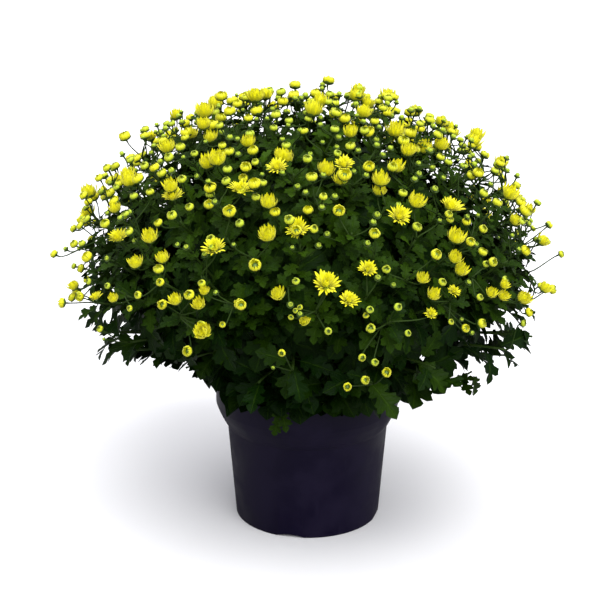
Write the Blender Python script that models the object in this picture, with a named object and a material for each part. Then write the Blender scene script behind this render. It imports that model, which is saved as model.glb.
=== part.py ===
"""Pot chrysanthemum: a garden mum in bud, domed over a plain plastic nursery pot.

The plant is sixteen leafy stems that stand in holes in the potting mix and spread into one dome,
and the sprays of flower heads that stand out of it. All sizes are in metres. The origin is the middle
of the pot's base, +Z is up, and -Y is the side that is seen.
"""

import math

import bmesh
import bpy
import numpy as np
from mathutils import Vector
from mathutils.bvhtree import BVHTree

# The pot
POT_HEIGHT = 0.149
RIM_RADIUS = 0.095
BASE_RADIUS = 0.075
WALL = 0.0015
FLOOR = 0.002
COLLAR_FACE = 0.0245
SHOULDER_HEIGHT = 0.101
SHOULDER_RADIUS = 0.0833
NOTCH_COUNT = 4
NOTCH_WIDTH = 0.031
NOTCH_HEIGHT = 0.0034
NOTCH_TURN = math.radians(-104)
DRAIN_COUNT = 6
DRAIN_RADIUS = 0.005
DRAIN_CIRCLE = 0.046
POT_SIDES = 32

# The potting mix
SEAT_GAP = 0.0003
SOIL_TOP = 0.133
SOIL_CROWN = 0.003
HOLE_DEPTH = 0.022

# The dome that the flower heads lie on, an ellipsoid round a centre above the pot
DOME_RADIUS = 0.243
DOME_RISE = 0.180
DOME_CENTRE = 0.265
CORE_OUTSIDE = 0.74
CORE_INSIDE = 0.64
CORE_GAP = 0.0010
CORE_BUMP = 0.075

# Leafy stems: one in the middle and two rings, each with its share of the dome, in degrees from the top
RINGS = (
    {"count": 1, "top": 0, "bottom": 24, "foot": 0.0},
    {"count": 6, "top": 24, "bottom": 58, "foot": 0.022},
    {"count": 9, "top": 58, "bottom": 120, "foot": 0.046},
)
STEM_RADIUS = 0.0038
STEM_SIDES = 5

# Leaves
CANOPY_LEAVES = 63
CANOPY_BOTTOM = 112
LEAF_TRIES = 12
LEAF_LENGTH = (0.066, 0.084)
LEAF_WIDTH_SHARE = 0.66
LEAF_THICKNESS = 0.0017
LEAF_ROOT = 0.010
LEAF_CLEARANCE = 0.0005
# The leaves low on the stems of each ring: share of the stem's length, turn to the side, dip and droop
# in degrees, and length
LOW_LEAVES = (
    (
        (0.33, 165, -10, 24, 0.066),
        (0.38, 45, -6, 24, 0.070),
        (0.43, -75, -6, 24, 0.070),
    ),
    (
        (0.35, 16, 2, 28, 0.080),
        (0.45, -18, 10, 30, 0.084),
    ),
    (
        (0.86, 22, 8, 22, 0.086),
        (0.78, -24, 14, 24, 0.084),
        (0.70, 3, 24, 26, 0.084),
        (0.60, 24, 14, 30, 0.080),
        (0.54, -20, 10, 30, 0.078),
        (0.46, 2, 10, 34, 0.076),
        (0.37, -26, 2, 26, 0.070),
    ),
)
# The lower edge of the leaves climbs from the rim outwards, and more so at the front; a leaf may hang a
# little below it
HEM_RISE = 0.13
HEM_FRONT = 2.2
HEM_SLACK = 0.006
# Half of the lobed outline, as shares of the length and of the half width
LEAF_OUTLINE = (
    (0.00, 0.09),
    (0.24, 0.13),
    (0.35, 0.80),
    (0.49, 0.36),
    (0.70, 1.00),
    (0.78, 0.42),
)
LEAF_RIB = (0.38, 0.70)

# Sprays of flower heads
SPRAYS = 27
SPRAY_BOTTOM = 96
FRONT_LIFT = math.radians(13)
SPRAY_HEADS = 18
MODELLED_HEADS = 5
FORK_RISE = 0.033
FORK_RADIUS = 0.0026
STALK_RADIUS = 0.0009
MAIN_STALK_RADIUS = 0.0014
GOLDEN_TURN = math.pi * (3 - math.sqrt(5))
SEED = 41

# Heads whose places show: degrees from the top, degrees round from the front, share of the dome's
# radius, radius and kind
PLACED_HEADS = (
    (69, 4, 1.00, 0.0160, "bloom"),
    (74, 9, 1.00, 0.0120, "bloom"),
    (54, -3, 1.00, 0.0130, "bloom"),
    (61, -24, 1.00, 0.0130, "bloom"),
    (43, -22, 1.00, 0.0125, "bloom"),
    (49, -44, 1.00, 0.0120, "bloom"),
    (35, -12, 1.00, 0.0110, "bloom"),
    (52, 26, 1.00, 0.0130, "bloom"),
    (52, 44, 1.00, 0.0140, "bloom"),
    (34, 14, 1.00, 0.0110, "bloom"),
    (65, -55, 1.00, 0.0125, "bloom"),
    (66, 14, 1.00, 0.0110, "bloom"),
    (84, -88, 1.06, 0.0060, "bud"),
    (84, 88, 1.06, 0.0060, "bud"),
    (80, 178, 1.06, 0.0060, "bud"),
    (76, -14, 1.06, 0.0060, "bud"),
)

# A head's rings: how many corners, and the (radius, height) that they take in turn, as shares of its
# radius. The last number is the height of the middle of its top.
HEAD_SHAPES = {
    "tiny": (((4, ((0.95, 0.70),)),), 1.35),
    "bud": (((4, ((1.00, 0.55),)), (4, ((0.84, 1.20),))), 0.92),
    "cup": (((5, ((0.76, 0.45),)), (10, ((1.00, 1.18), (0.76, 0.98)))), 0.72),
    "bloom": (
        ((7, ((0.40, 0.20),)), (14, ((1.00, 0.62), (0.60, 0.48))), (7, ((0.42, 0.86),))),
        0.58,
    ),
}


def material(name, colour, roughness):
    """A plain surface finish."""
    made = bpy.data.materials.new(name)
    made.use_nodes = True
    shader = made.node_tree.nodes["Principled BSDF"]
    shader.inputs["Base Color"].default_value = (*colour, 1)
    shader.inputs["Roughness"].default_value = roughness
    shader.inputs["Metallic"].default_value = 0
    return made


def add_object(name, shape, finish, collection=None):
    """A mesh object from a shape, which is its points and its faces."""
    points, faces = shape
    mesh = bpy.data.meshes.new(name)
    mesh.from_pydata([tuple(p) for p in points], [], faces)
    mesh.materials.append(finish)
    body = bmesh.new()
    body.from_mesh(mesh)
    bmesh.ops.recalc_face_normals(body, faces=body.faces)
    body.to_mesh(mesh)
    body.free()
    made = bpy.data.objects.new(name, mesh)
    (collection or bpy.context.scene.collection).objects.link(made)
    return made


def join_or_cut(target, shapes, finish, operation, solver="EXACT"):
    """One Boolean of the target with all the shapes, applied, with the helpers then removed."""
    helpers = bpy.data.collections.new("helpers")
    bpy.context.scene.collection.children.link(helpers)
    for shape in shapes:
        helper = add_object("helper", shape, finish, helpers)
        helper.hide_render = True
        helper.display_type = "WIRE"
    modifier = target.modifiers.new("all", "BOOLEAN")
    modifier.operation = operation
    modifier.operand_type = "COLLECTION"
    modifier.collection = helpers
    modifier.solver = solver
    graph = bpy.context.evaluated_depsgraph_get()
    result = bpy.data.meshes.new_from_object(target.evaluated_get(graph))
    target.modifiers.clear()
    target.data = result
    for helper in list(helpers.objects):
        bpy.data.objects.remove(helper)
    bpy.data.collections.remove(helpers)


def turned(profile, sides):
    """A solid turned round Z from a profile of (radius, height) that starts and ends on the axis."""
    points, rings = [], []
    for radius, height in profile:
        corners = 1 if radius == 0 else sides
        rings.append(range(len(points), len(points) + corners))
        for k in range(corners):
            angle = 2 * math.pi * k / sides
            points.append((radius * math.cos(angle), radius * math.sin(angle), height))
    faces = []
    for low, high in zip(rings, rings[1:]):
        faces += bridge(low, high)
    return points, faces


def bridge(low, high):
    """The triangles between two closed rings, which may have different numbers of corners."""
    faces = []
    i = j = 0
    a, b = len(low), len(high)
    while i < a or j < b:
        if j < b and (i >= a or j * a <= i * b):
            if b > 1:
                faces.append((low[i % a], high[(j + 1) % b], high[j % b]))
            j += 1
        else:
            if a > 1:
                faces.append((low[i % a], low[(i + 1) % a], high[j % b]))
            i += 1
    return faces


def ring_frame(axis, side):
    """Two directions square to the axis, the first as near to side as can be."""
    first = side - axis * side.dot(axis)
    if first.length < 1e-6:
        first = axis.orthogonal()
    first.normalize()
    return first, axis.cross(first)


def ring_points(centre, axis, side, corners, steps, scale):
    """A ring of corners round the axis that takes the (radius, height) steps in turn."""
    first, second = ring_frame(axis, side)
    points = []
    for k in range(corners):
        radius, height = steps[k % len(steps)]
        angle = 2 * math.pi * k / corners
        out = first * math.cos(angle) + second * math.sin(angle)
        points.append(centre + (out * radius + axis * height) * scale)
    return points


def lofted(rings, top):
    """A closed shape from rings of points, flat at its foot and closed to a point at its top."""
    points, marks = [], []
    for ring in rings:
        marks.append(list(range(len(points), len(points) + len(ring))))
        points += ring
    faces = [tuple(reversed(marks[0]))]
    for low, high in zip(marks, marks[1:]):
        faces += bridge(low, high)
    if top is None:
        faces.append(tuple(marks[-1]))
    else:
        points.append(top)
        faces += bridge(marks[-1], [len(points) - 1])
    return points, faces


def tube(path, radii, sides):
    """A tapered stem along the points of a path."""
    rings = []
    side = Vector((0, 1, 0))
    for k, centre in enumerate(path):
        axis = (path[min(k + 1, len(path) - 1)] - path[max(k - 1, 0)]).normalized()
        rings.append(ring_points(centre, axis, side, sides, ((radii[k], 0),), 1))
        side = ring_frame(axis, side)[0]
    return lofted(rings, None)


def dome_point(polar, turn, share=1.0):
    """A point on the dome, by its angles from the top and round from the front, in radians."""
    flat = DOME_RADIUS * share * math.sin(polar)
    return Vector(
        (
            flat * math.sin(turn),
            -flat * math.cos(turn),
            DOME_CENTRE + DOME_RISE * share * math.cos(polar),
        )
    )


def dome_normal(polar, turn):
    """The dome's outward direction at those angles."""
    flat = math.sin(polar) / DOME_RADIUS
    rise = math.cos(polar) / DOME_RISE
    return Vector((flat * math.sin(turn), -flat * math.cos(turn), rise)).normalized()


def dome_frame(polar, turn):
    """The outward direction, the way down the dome and the way round it."""
    out = dome_normal(polar, turn)
    around = Vector((math.cos(turn), math.sin(turn), 0))
    return out, around.cross(out), around


def spiral(count, bottom):
    """Evenly spread angles (polar, turn) over the dome, from its top to bottom, in degrees, on a spiral."""
    depth = 1 - math.cos(math.radians(bottom))
    return [
        (math.acos(1 - depth * (k + 0.5) / count), (k * GOLDEN_TURN) % (2 * math.pi))
        for k in range(count)
    ]


def spray_layout():
    """The sprays: the angles of each, and its heads, which have a place, an axis, a radius and a kind."""
    sprays = []
    for number, (polar, turn) in enumerate(spiral(SPRAYS, SPRAY_BOTTOM)):
        polar -= FRONT_LIFT * max(0, math.cos(turn)) * polar / math.radians(SPRAY_BOTTOM)
        draw = np.random.default_rng([SEED, number]).random((SPRAY_HEADS, 6))
        out, down, around = dome_frame(polar, turn)
        centre = dome_point(polar, turn)
        heads = []
        for k in range(SPRAY_HEADS):
            reach = 0.010 + 0.036 * math.sqrt(k / 5) if k < 6 else 0.018 + 0.040 * draw[k, 5]
            angle = k * GOLDEN_TURN + number + 0.5 * draw[k, 0]
            flat = centre + (down * math.cos(angle) + around * math.sin(angle)) * reach
            lift = 0.965 + 0.065 * draw[k, 1] + (0.04 if k == 3 and number % 3 == 1 else 0)
            offset = flat - Vector((0, 0, DOME_CENTRE))
            reach_now = Vector((offset.x / DOME_RADIUS, offset.y / DOME_RADIUS, offset.z / DOME_RISE))
            place = Vector((0, 0, DOME_CENTRE)) + offset * (lift / reach_now.length)
            tilt = Vector((draw[k, 2] - 0.5, draw[k, 3] - 0.5, 0.35)) * 0.6
            axis = (out + tilt).normalized()
            kind, radius = head_kind(k, number, draw[k, 4])
            heads.append({"place": place, "axis": axis, "radius": radius, "kind": kind})
        sprays.append({"polar": polar, "turn": turn, "heads": heads})
    move_placed_heads(sprays)
    return sprays


def head_kind(k, number, chance):
    """The kind and radius of a spray's k-th head: the middle one opens first and the outer ones last."""
    if k == 0:
        if number % 5 == 2:
            return "bloom", 0.0115 + 0.002 * chance
        return "cup", 0.0085 + 0.002 * chance
    if k in (1, 6, 10) and (number + k) % 3 != 0:
        return "cup", 0.0075 + 0.0015 * chance
    if k in (5, 9, 11, 14, 17):
        return "tiny", 0.0034 + 0.001 * chance
    return "bud", 0.0053 + 0.0017 * chance


def move_placed_heads(sprays):
    """Moves the modelled head nearest to each known place there, with its kind and size."""
    free = [head for spray in sprays for head in spray["heads"][:MODELLED_HEADS]]
    for polar, turn, share, radius, kind in PLACED_HEADS:
        spot = dome_point(math.radians(polar), math.radians(turn), share)
        nearest = min(free, key=lambda head: (head["place"] - spot).length)
        nearest.update(place=spot, radius=radius, kind=kind)
        free.remove(nearest)


def head_shape(fork, head):
    """A flower head with its own stalk from the spray's fork."""
    place, axis, radius = head["place"], head["axis"], head["radius"]
    rings, middle = HEAD_SHAPES[head["kind"]]
    foot = place - axis * radius * 0.6
    stalk = (foot - fork).normalized()
    side = stalk.orthogonal()
    loft = [
        ring_points(fork, stalk, side, 3, ((STALK_RADIUS, 0),), 1),
        ring_points(foot, axis, side, 3, ((STALK_RADIUS, 0),), 1),
    ]
    for corners, steps in rings:
        loft.append(ring_points(foot, axis, side, corners, steps, radius))
    return lofted(loft, foot + axis * middle * radius)


def fork_shape(root, fork, axis):
    """A spray's own stalk, with the knot at its top that the heads' stalks leave."""
    side = axis.orthogonal()
    rings = [
        ring_points(root, axis, side, 4, ((MAIN_STALK_RADIUS, 0),), 1),
        ring_points(fork, axis, side, 4, ((FORK_RADIUS, 0),), 1),
    ]
    return lofted(rings, fork + axis * FORK_RADIUS)


def block_shape(top, bottom, left, right, down_steps, round_steps, draw):
    """A stem's dense inner growth: a piece of the dome's thickness between four angles."""
    inset = CORE_GAP / DOME_RADIUS
    polars = np.linspace(top + inset, bottom - inset, down_steps + 1)
    points = []
    for share in (CORE_OUTSIDE, CORE_INSIDE):
        for polar in polars:
            slack = CORE_GAP / (DOME_RADIUS * math.sin(polar))
            for turn in np.linspace(left + slack, right - slack, round_steps + 1):
                bump = CORE_BUMP * (draw.random() - 0.5) if share == CORE_OUTSIDE else 0
                points.append(dome_point(polar, turn, share + bump))
    wide = round_steps + 1
    layer = len(points) // 2
    faces = []
    for j in range(down_steps):
        for i in range(round_steps):
            a = j * wide + i
            quad = (a, a + 1, a + wide + 1, a + wide)
            for start, order in ((0, quad), (layer, quad[::-1])):
                w, x, y, z = (start + n for n in order)
                faces += [(w, x, y), (w, y, z)]
    edge = list(range(wide))
    edge += [j * wide + round_steps for j in range(1, down_steps + 1)]
    edge += [down_steps * wide + i for i in range(round_steps - 1, -1, -1)]
    edge += [j * wide for j in range(down_steps - 1, 0, -1)]
    for a, b in zip(edge, edge[1:] + edge[:1]):
        faces += [(a, a + layer, b + layer), (a, b + layer, b)]
    return points, faces


def cap_shape(bottom, draw):
    """The middle stem's dense inner growth: the dome's top."""
    inset = CORE_GAP / DOME_RADIUS
    rings = []
    sides = 10
    for share, polar in (
        (CORE_INSIDE, bottom / 2),
        (CORE_INSIDE, bottom - inset),
        (CORE_OUTSIDE, bottom - inset),
        (CORE_OUTSIDE, bottom / 2),
    ):
        ring = []
        for k in range(sides):
            turn = 2 * math.pi * k / sides
            bump = CORE_BUMP * (draw.random() - 0.5) if share == CORE_OUTSIDE else 0
            ring.append(dome_point(polar, turn, share + bump))
        rings.append(ring)
    return lofted(rings, dome_point(0, 0, CORE_OUTSIDE))


def leaf_shape(root, leaf, grow=0.0):
    """A lobed leaf: a thin blade, ribbed and folded a little, that bends down along its length."""
    forward, up, length, droop = leaf
    forward = forward.normalized()
    across = forward.cross(up).normalized()
    up = across.cross(forward)
    half = length * LEAF_WIDTH_SHARE / 2 + grow
    fold = 0.22

    def spot(along, aside, raised):
        bend = droop * along
        reach = length * (math.sin(bend) / droop)
        dip = length * ((1 - math.cos(bend)) / droop)
        lift = fold * abs(aside) + raised
        return (
            root
            + forward * (reach + math.sin(bend) * lift)
            - up * (dip - math.cos(bend) * lift)
            + across * aside
        )

    left = [spot(along, -wide * half, 0) for along, wide in LEAF_OUTLINE]
    right = [spot(along, wide * half, 0) for along, wide in LEAF_OUTLINE]
    points = left + [spot(1, 0, 0)] + right[::-1]
    tall = LEAF_THICKNESS / 2 + grow
    points += [spot(along, 0, side * tall) for side in (1, -1) for along in LEAF_RIB]
    count = len(LEAF_OUTLINE)
    edge = list(range(2 * count + 1))
    turn_in = next(k for k, (along, _) in enumerate(LEAF_OUTLINE) if along > LEAF_RIB[0] + 0.05)
    faces = []
    for low_rib, high_rib, flip in (
        (len(edge), len(edge) + 1, False),
        (len(edge) + 2, len(edge) + 3, True),
    ):
        one_side = []
        for k, (a, b) in enumerate(zip(edge, edge[1:] + edge[:1])):
            near_root = k < turn_in or k >= 2 * count - turn_in
            one_side.append((a, b, low_rib if near_root else high_rib))
        one_side.append((turn_in, high_rib, low_rib))
        one_side.append((2 * count - turn_in, low_rib, high_rib))
        faces += [face[::-1] for face in one_side] if flip else one_side
    return points, faces


def stem_path(ring, turn):
    """A stem's line, from its hole in the potting mix up and out to its share of the dome."""
    foot = ring["foot"]
    out = Vector((math.sin(turn), -math.cos(turn), 0))
    polar = math.radians(ring["top"] + ring["bottom"]) / 2 if ring["count"] > 1 else 0
    head = dome_point(polar, turn, (CORE_INSIDE + CORE_OUTSIDE) / 2)
    low = out * foot + Vector((0, 0, SOIL_TOP - HOLE_DEPTH))
    start = out * foot + Vector((0, 0, SOIL_TOP + 0.010))
    knee = out * (foot * 1.15) + Vector((0, 0, SOIL_TOP + 0.045))
    reach = Vector((head.x, head.y, 0)) * 0.62 + Vector((0, 0, head.z - 0.035))
    path = [low, start]
    for k in range(1, 4):
        t = k / 3
        path.append(
            start * (1 - t) ** 3
            + knee * 3 * t * (1 - t) ** 2
            + reach * 3 * t**2 * (1 - t)
            + head * t**3
        )
    return path


def stem_layout():
    """The stems: their ring, their middle angle and the line that each follows."""
    stems = []
    for ring, low_leaves in zip(RINGS, LOW_LEAVES):
        for k in range(ring["count"]):
            turn = 2 * math.pi * (k + 0.5 * (ring["count"] % 2)) / ring["count"]
            path = stem_path(ring, turn)
            stems.append({"ring": ring, "turn": turn, "path": path, "low_leaves": low_leaves})
    return stems


def canopy_leaf_layout():
    """For each leaf on the outside of the dome, some ways that it may stand there.

    A way has the angles of its root, then its direction, its upper side, its length and its droop.
    """
    draw = np.random.default_rng(SEED + 1)
    leaves = []
    for polar, turn in spiral(CANOPY_LEAVES, CANOPY_BOTTOM):
        tries = []
        for swing, lean, size, bend, lower, later in draw.random((LEAF_TRIES, 6)):
            spot = (polar + 0.16 * (lower - 0.5), turn + 0.16 * (later - 0.5) / math.sin(polar))
            out, down, around = dome_frame(*spot)
            heading = math.radians(170) * (swing - 0.5)
            flat = down * math.cos(heading) + around * math.sin(heading)
            rise = math.radians(18 + 28 * lean) + max(0, polar - math.radians(85))
            forward = flat * math.cos(rise) + out * math.sin(rise)
            length = LEAF_LENGTH[0] + (LEAF_LENGTH[1] - LEAF_LENGTH[0]) * size
            tries.append((spot, (forward, out, length, 0.5 + 0.5 * bend)))
        leaves.append(tries)
    return leaves


def low_leaf_layout(stem):
    """The big leaves low on a stem, which fill the dome's foot and hang out over the pot's rim."""
    path = stem["path"]
    leaves = []
    for share, aside, dip, droop, length in stem["low_leaves"]:
        along = share * (len(path) - 1)
        k = int(along)
        root = path[k].lerp(path[k + 1], along - k)
        turn = stem["turn"] + math.radians(aside)
        out = Vector((math.sin(turn), -math.cos(turn), 0))
        dip = math.radians(dip)
        forward = out * math.cos(dip) - Vector((0, 0, math.sin(dip)))
        leaf = forward, Vector((0, 0, 1)), length, math.radians(droop) * 2
        leaves.append((root, raised_to_hem(root, leaf)))
    return leaves


def hem(point):
    """The lowest height that a leaf may reach outside the rim."""
    reach = math.hypot(point.x, point.y)
    front = max(0, -point.y / reach)
    return POT_HEIGHT - 0.003 + HEM_RISE * (1 + HEM_FRONT * front**2) * (reach - RIM_RADIUS)


def raised_to_hem(root, leaf):
    """The leaf, turned up about its root until none of it hangs below the hem."""
    forward, up, length, droop = leaf
    for _ in range(12):
        points = leaf_shape(root, (forward, up, length, droop))[0]
        outside = [p for p in points if math.hypot(p.x, p.y) > RIM_RADIUS]
        if all(p.z >= hem(p) - HEM_SLACK for p in outside):
            break
        forward = (forward + up * 0.08).normalized()
    return forward, up, length, droop


def tree_of(shape):
    """A search tree of a shape's faces, to find what it crosses."""
    return BVHTree.FromPolygons([tuple(p) for p in shape[0]], shape[1])


def surface_under(polar, turn, core_tree):
    """The point and the outward direction of a core's outside at those angles."""
    far, near = dome_point(polar, turn, 1.3), dome_point(polar, turn, 0.5)
    spot, facing = core_tree.ray_cast(far, near - far)[:2]
    return spot, facing if facing.dot(far - near) > 0 else -facing


def owner_of(polar, turn, stems):
    """The number of the stem whose share of the dome holds these angles."""
    degrees = math.degrees(polar)
    for number, stem in enumerate(stems):
        ring = stem["ring"]
        half = math.pi / ring["count"]
        aside = (turn - stem["turn"] + math.pi) % (2 * math.pi) - math.pi
        if ring["top"] <= degrees < ring["bottom"] and abs(aside) <= half + 1e-9:
            return number
    raise ValueError("no stem holds these angles")


def inside_share(polar, turn, stem):
    """The same angles, moved where needed to keep off the edges of the stem's share of the dome."""
    ring = stem["ring"]
    keep = 0.011 / DOME_RADIUS
    polar = min(polar, math.radians(ring["bottom"]) - keep)
    if ring["count"] == 1:
        return polar, turn
    polar = max(polar, math.radians(ring["top"]) + keep)
    half = math.pi / ring["count"] - keep / math.sin(polar)
    aside = (turn - stem["turn"] + math.pi) % (2 * math.pi) - math.pi
    return polar, stem["turn"] + max(-half, min(half, aside))


def make_pot(finish):
    """The pot: a tapered cup with a deep collar, a flat base, drain holes and four drain notches."""
    collar = POT_HEIGHT - COLLAR_FACE
    outside = (
        (BASE_RADIUS, 0),
        (SHOULDER_RADIUS, SHOULDER_HEIGHT),
        (SHOULDER_RADIUS + 0.0035, SHOULDER_HEIGHT + 0.0050),
        (RIM_RADIUS - 0.0030, collar - 0.0080),
        (RIM_RADIUS, collar),
        (RIM_RADIUS, POT_HEIGHT - 0.0007),
        (RIM_RADIUS - 0.0007, POT_HEIGHT),
    )
    inside = [(radius - WALL, height) for radius, height in outside[1:5]]
    profile = (
        [(0, 0)]
        + list(outside)
        + [(RIM_RADIUS - WALL, POT_HEIGHT)]
        + inside[::-1]
        + [(BASE_RADIUS - WALL, FLOOR), (0, FLOOR)]
    )
    pot = add_object("pot", turned(profile, POT_SIDES), finish)
    join_or_cut(pot, notch_cutters() + drain_cutters(), finish, "DIFFERENCE")
    pot.data.shade_smooth()
    pot.data.set_sharp_from_angle(angle=math.radians(35))
    return inside


def notch_cutters():
    """Low cylinders that cut the drain arches in the foot of the wall."""
    radius = ((NOTCH_WIDTH / 2) ** 2 + NOTCH_HEIGHT**2) / (2 * NOTCH_HEIGHT)
    cutters = []
    for k in range(NOTCH_COUNT):
        turn = NOTCH_TURN + 2 * math.pi * k / NOTCH_COUNT
        out = Vector((math.sin(turn), -math.cos(turn), 0))
        low = Vector((0, 0, NOTCH_HEIGHT - radius))
        ends = [
            ring_points(out * reach + low, out, Vector((0, 0, 1)), 48, ((radius, 0),), 1)
            for reach in (BASE_RADIUS - 0.010, BASE_RADIUS + 0.004)
        ]
        cutters.append(lofted(ends, None))
    return cutters


def drain_cutters():
    """Upright cylinders that cut the drain holes in the base."""
    cutters = []
    for k in range(DRAIN_COUNT):
        turn = 2 * math.pi * (k + 0.5) / DRAIN_COUNT
        middle = Vector((math.sin(turn), -math.cos(turn), 0)) * DRAIN_CIRCLE
        ends = [
            ring_points(
                middle + Vector((0, 0, height)),
                Vector((0, 0, 1)),
                Vector((1, 0, 0)),
                8,
                ((DRAIN_RADIUS, 0),),
                1,
            )
            for height in (-0.002, FLOOR + 0.002)
        ]
        cutters.append(lofted(ends, None))
    return cutters


def make_soil(finish, inside, stems):
    """The potting mix: it fills the pot to below its rim, and the stems stand in plain holes in it."""
    profile = [(0, FLOOR + SEAT_GAP), (BASE_RADIUS - WALL - SEAT_GAP, FLOOR + SEAT_GAP)]
    profile += [(radius - SEAT_GAP, height) for radius, height in inside]
    profile += [(RIM_RADIUS - WALL - SEAT_GAP, SOIL_TOP), (0, SOIL_TOP + SOIL_CROWN)]
    soil = add_object("potting_mix", turned(profile, POT_SIDES), finish)
    holes = []
    for stem in stems:
        foot = stem["path"][0]
        low = foot - Vector((0, 0, SEAT_GAP))
        ends = [
            ring_points(
                low + Vector((0, 0, height)),
                Vector((0, 0, 1)),
                Vector((0, 1, 0)),
                STEM_SIDES,
                ((STEM_RADIUS + SEAT_GAP * 1.2, 0),),
                1,
            )
            for height in (0, HOLE_DEPTH + 0.012)
        ]
        holes.append(lofted(ends, None))
    join_or_cut(soil, holes, finish, "DIFFERENCE")


def make_sprays(finish, sprays, stems, cores):
    """One node for each spray of flower heads, seated on the growth of the stem that carries it."""
    trees = []
    for number, spray in enumerate(sprays):
        owner = owner_of(spray["polar"], spray["turn"], stems)
        polar, turn = inside_share(spray["polar"], spray["turn"], stems[owner])
        seat, facing = surface_under(polar, turn, tree_of(cores[owner]))
        root = seat + facing * SEAT_GAP * 1.2
        fork = root + facing * FORK_RISE
        stalk = fork_shape(root, fork, facing)
        shapes = [head_shape(fork, head) for head in spray["heads"][:MODELLED_HEADS]]
        trees += [tree_of(shape) for shape in [stalk] + shapes]
        body = add_object(f"spray_{number + 1:02d}", stalk, finish)
        join_or_cut(body, shapes, finish, "UNION", "MANIFOLD")
    return trees


def core_shapes(stems):
    """The dense inner growth of each stem."""
    draw = np.random.default_rng(SEED + 2)
    cores = []
    for stem in stems:
        ring = stem["ring"]
        if ring["count"] == 1:
            cores.append(cap_shape(math.radians(ring["bottom"]), draw))
            continue
        half = math.pi / ring["count"]
        top, bottom = math.radians(ring["top"]), math.radians(ring["bottom"])
        left, right = stem["turn"] - half, stem["turn"] + half
        steps = 4 if bottom > math.pi / 2 else 3
        cores.append(block_shape(top, bottom, left, right, steps, 3, draw))
    return cores


def make_stems(finish, stems, cores, spray_trees, pot_tree):
    """One node for each leafy stem: its stem, its inner growth and the leaves that stand out of it."""
    shapes = []
    for stem, core in zip(stems, cores):
        radii = np.linspace(STEM_RADIUS, STEM_RADIUS * 0.6, len(stem["path"]))
        shapes.append([tube(stem["path"], radii, STEM_SIDES)])
    stem_trees = [tree_of(own[0]) for own in shapes]
    core_trees = [tree_of(core) for core in cores]
    taken = list(spray_trees) + [pot_tree]

    def place(number, root, leaf):
        """Adds the leaf to its stem if it stays clear of all that stands already."""
        room = tree_of(leaf_shape(root, leaf, LEAF_CLEARANCE))
        others = [tree for k, tree in enumerate(core_trees + stem_trees) if k % len(stems) != number]
        if any(room.overlap(tree) for tree in taken + others):
            return False
        shapes[number].append(leaf_shape(root, leaf))
        taken.append(room)
        return True

    for number, stem in enumerate(stems):
        for root, leaf in low_leaf_layout(stem):
            place(number, root, leaf)
    for tries in canopy_leaf_layout():
        for spot, leaf in tries:
            number = owner_of(*spot, stems)
            spot = inside_share(*spot, stems[number])
            seat = surface_under(*spot, core_trees[number])[0]
            root = seat - leaf[0] * LEAF_ROOT
            if place(number, root, raised_to_hem(root, leaf)):
                break
    for number, (core, own) in enumerate(zip(cores, shapes)):
        body = add_object(f"leafy_stem_{number + 1:02d}", core, finish)
        join_or_cut(body, own, finish, "UNION", "MANIFOLD")
    print("leaves:", sum(len(own) - 1 for own in shapes))


def main():
    for old in list(bpy.data.objects):
        bpy.data.objects.remove(old)
    plastic = material("pot plastic", (0.018, 0.014, 0.030), 0.45)
    mix = material("potting mix", (0.030, 0.018, 0.010), 0.95)
    green = material("leaf green", (0.035, 0.085, 0.018), 0.55)
    yellow = material("petal yellow", (0.86, 0.78, 0.02), 0.6)
    stems = stem_layout()
    cores = core_shapes(stems)
    inside = make_pot(plastic)
    pot = bpy.data.objects["pot"].data
    pot_tree = BVHTree.FromPolygons(
        [tuple(v.co) for v in pot.vertices], [tuple(p.vertices) for p in pot.polygons]
    )
    make_soil(mix, inside, stems)
    spray_trees = make_sprays(yellow, spray_layout(), stems, cores)
    make_stems(green, stems, cores, spray_trees, pot_tree)


main()
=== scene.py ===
"""A garden chrysanthemum in a plastic nursery pot: the dressed model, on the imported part's frame.

The plant is a dome of leafy shoots on sixteen stems. Thin stalks stand out of it with the flower heads,
from tiny closed buds to half-open blooms. All sizes are in metres, +Z is up and -Y is the front.
"""

import math

import bpy
import numpy as np
from bpy.props import FloatProperty, FloatVectorProperty, IntProperty, PointerProperty
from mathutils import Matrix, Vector


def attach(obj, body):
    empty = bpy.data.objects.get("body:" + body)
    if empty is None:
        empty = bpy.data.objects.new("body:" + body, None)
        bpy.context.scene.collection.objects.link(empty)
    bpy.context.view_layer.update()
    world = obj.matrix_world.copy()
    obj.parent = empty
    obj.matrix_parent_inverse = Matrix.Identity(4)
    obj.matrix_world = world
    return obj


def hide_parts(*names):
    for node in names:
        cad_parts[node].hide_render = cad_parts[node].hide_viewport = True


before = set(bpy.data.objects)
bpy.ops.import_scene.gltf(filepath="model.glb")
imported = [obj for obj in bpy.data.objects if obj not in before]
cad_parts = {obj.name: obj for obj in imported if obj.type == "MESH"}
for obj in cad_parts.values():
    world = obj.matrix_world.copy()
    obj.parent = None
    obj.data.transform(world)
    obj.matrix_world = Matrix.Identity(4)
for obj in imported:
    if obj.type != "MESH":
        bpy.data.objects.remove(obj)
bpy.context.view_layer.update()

bl_info = {
    "name": "Pot Chrysanthemum",
    "version": (1, 0, 0),
    "blender": (4, 5, 0),
    "location": "View3D > Sidebar > Chrysanthemum",
    "description": "Builds a domed garden chrysanthemum in a nursery pot, with its studio",
    "category": "Object",
}

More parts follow.
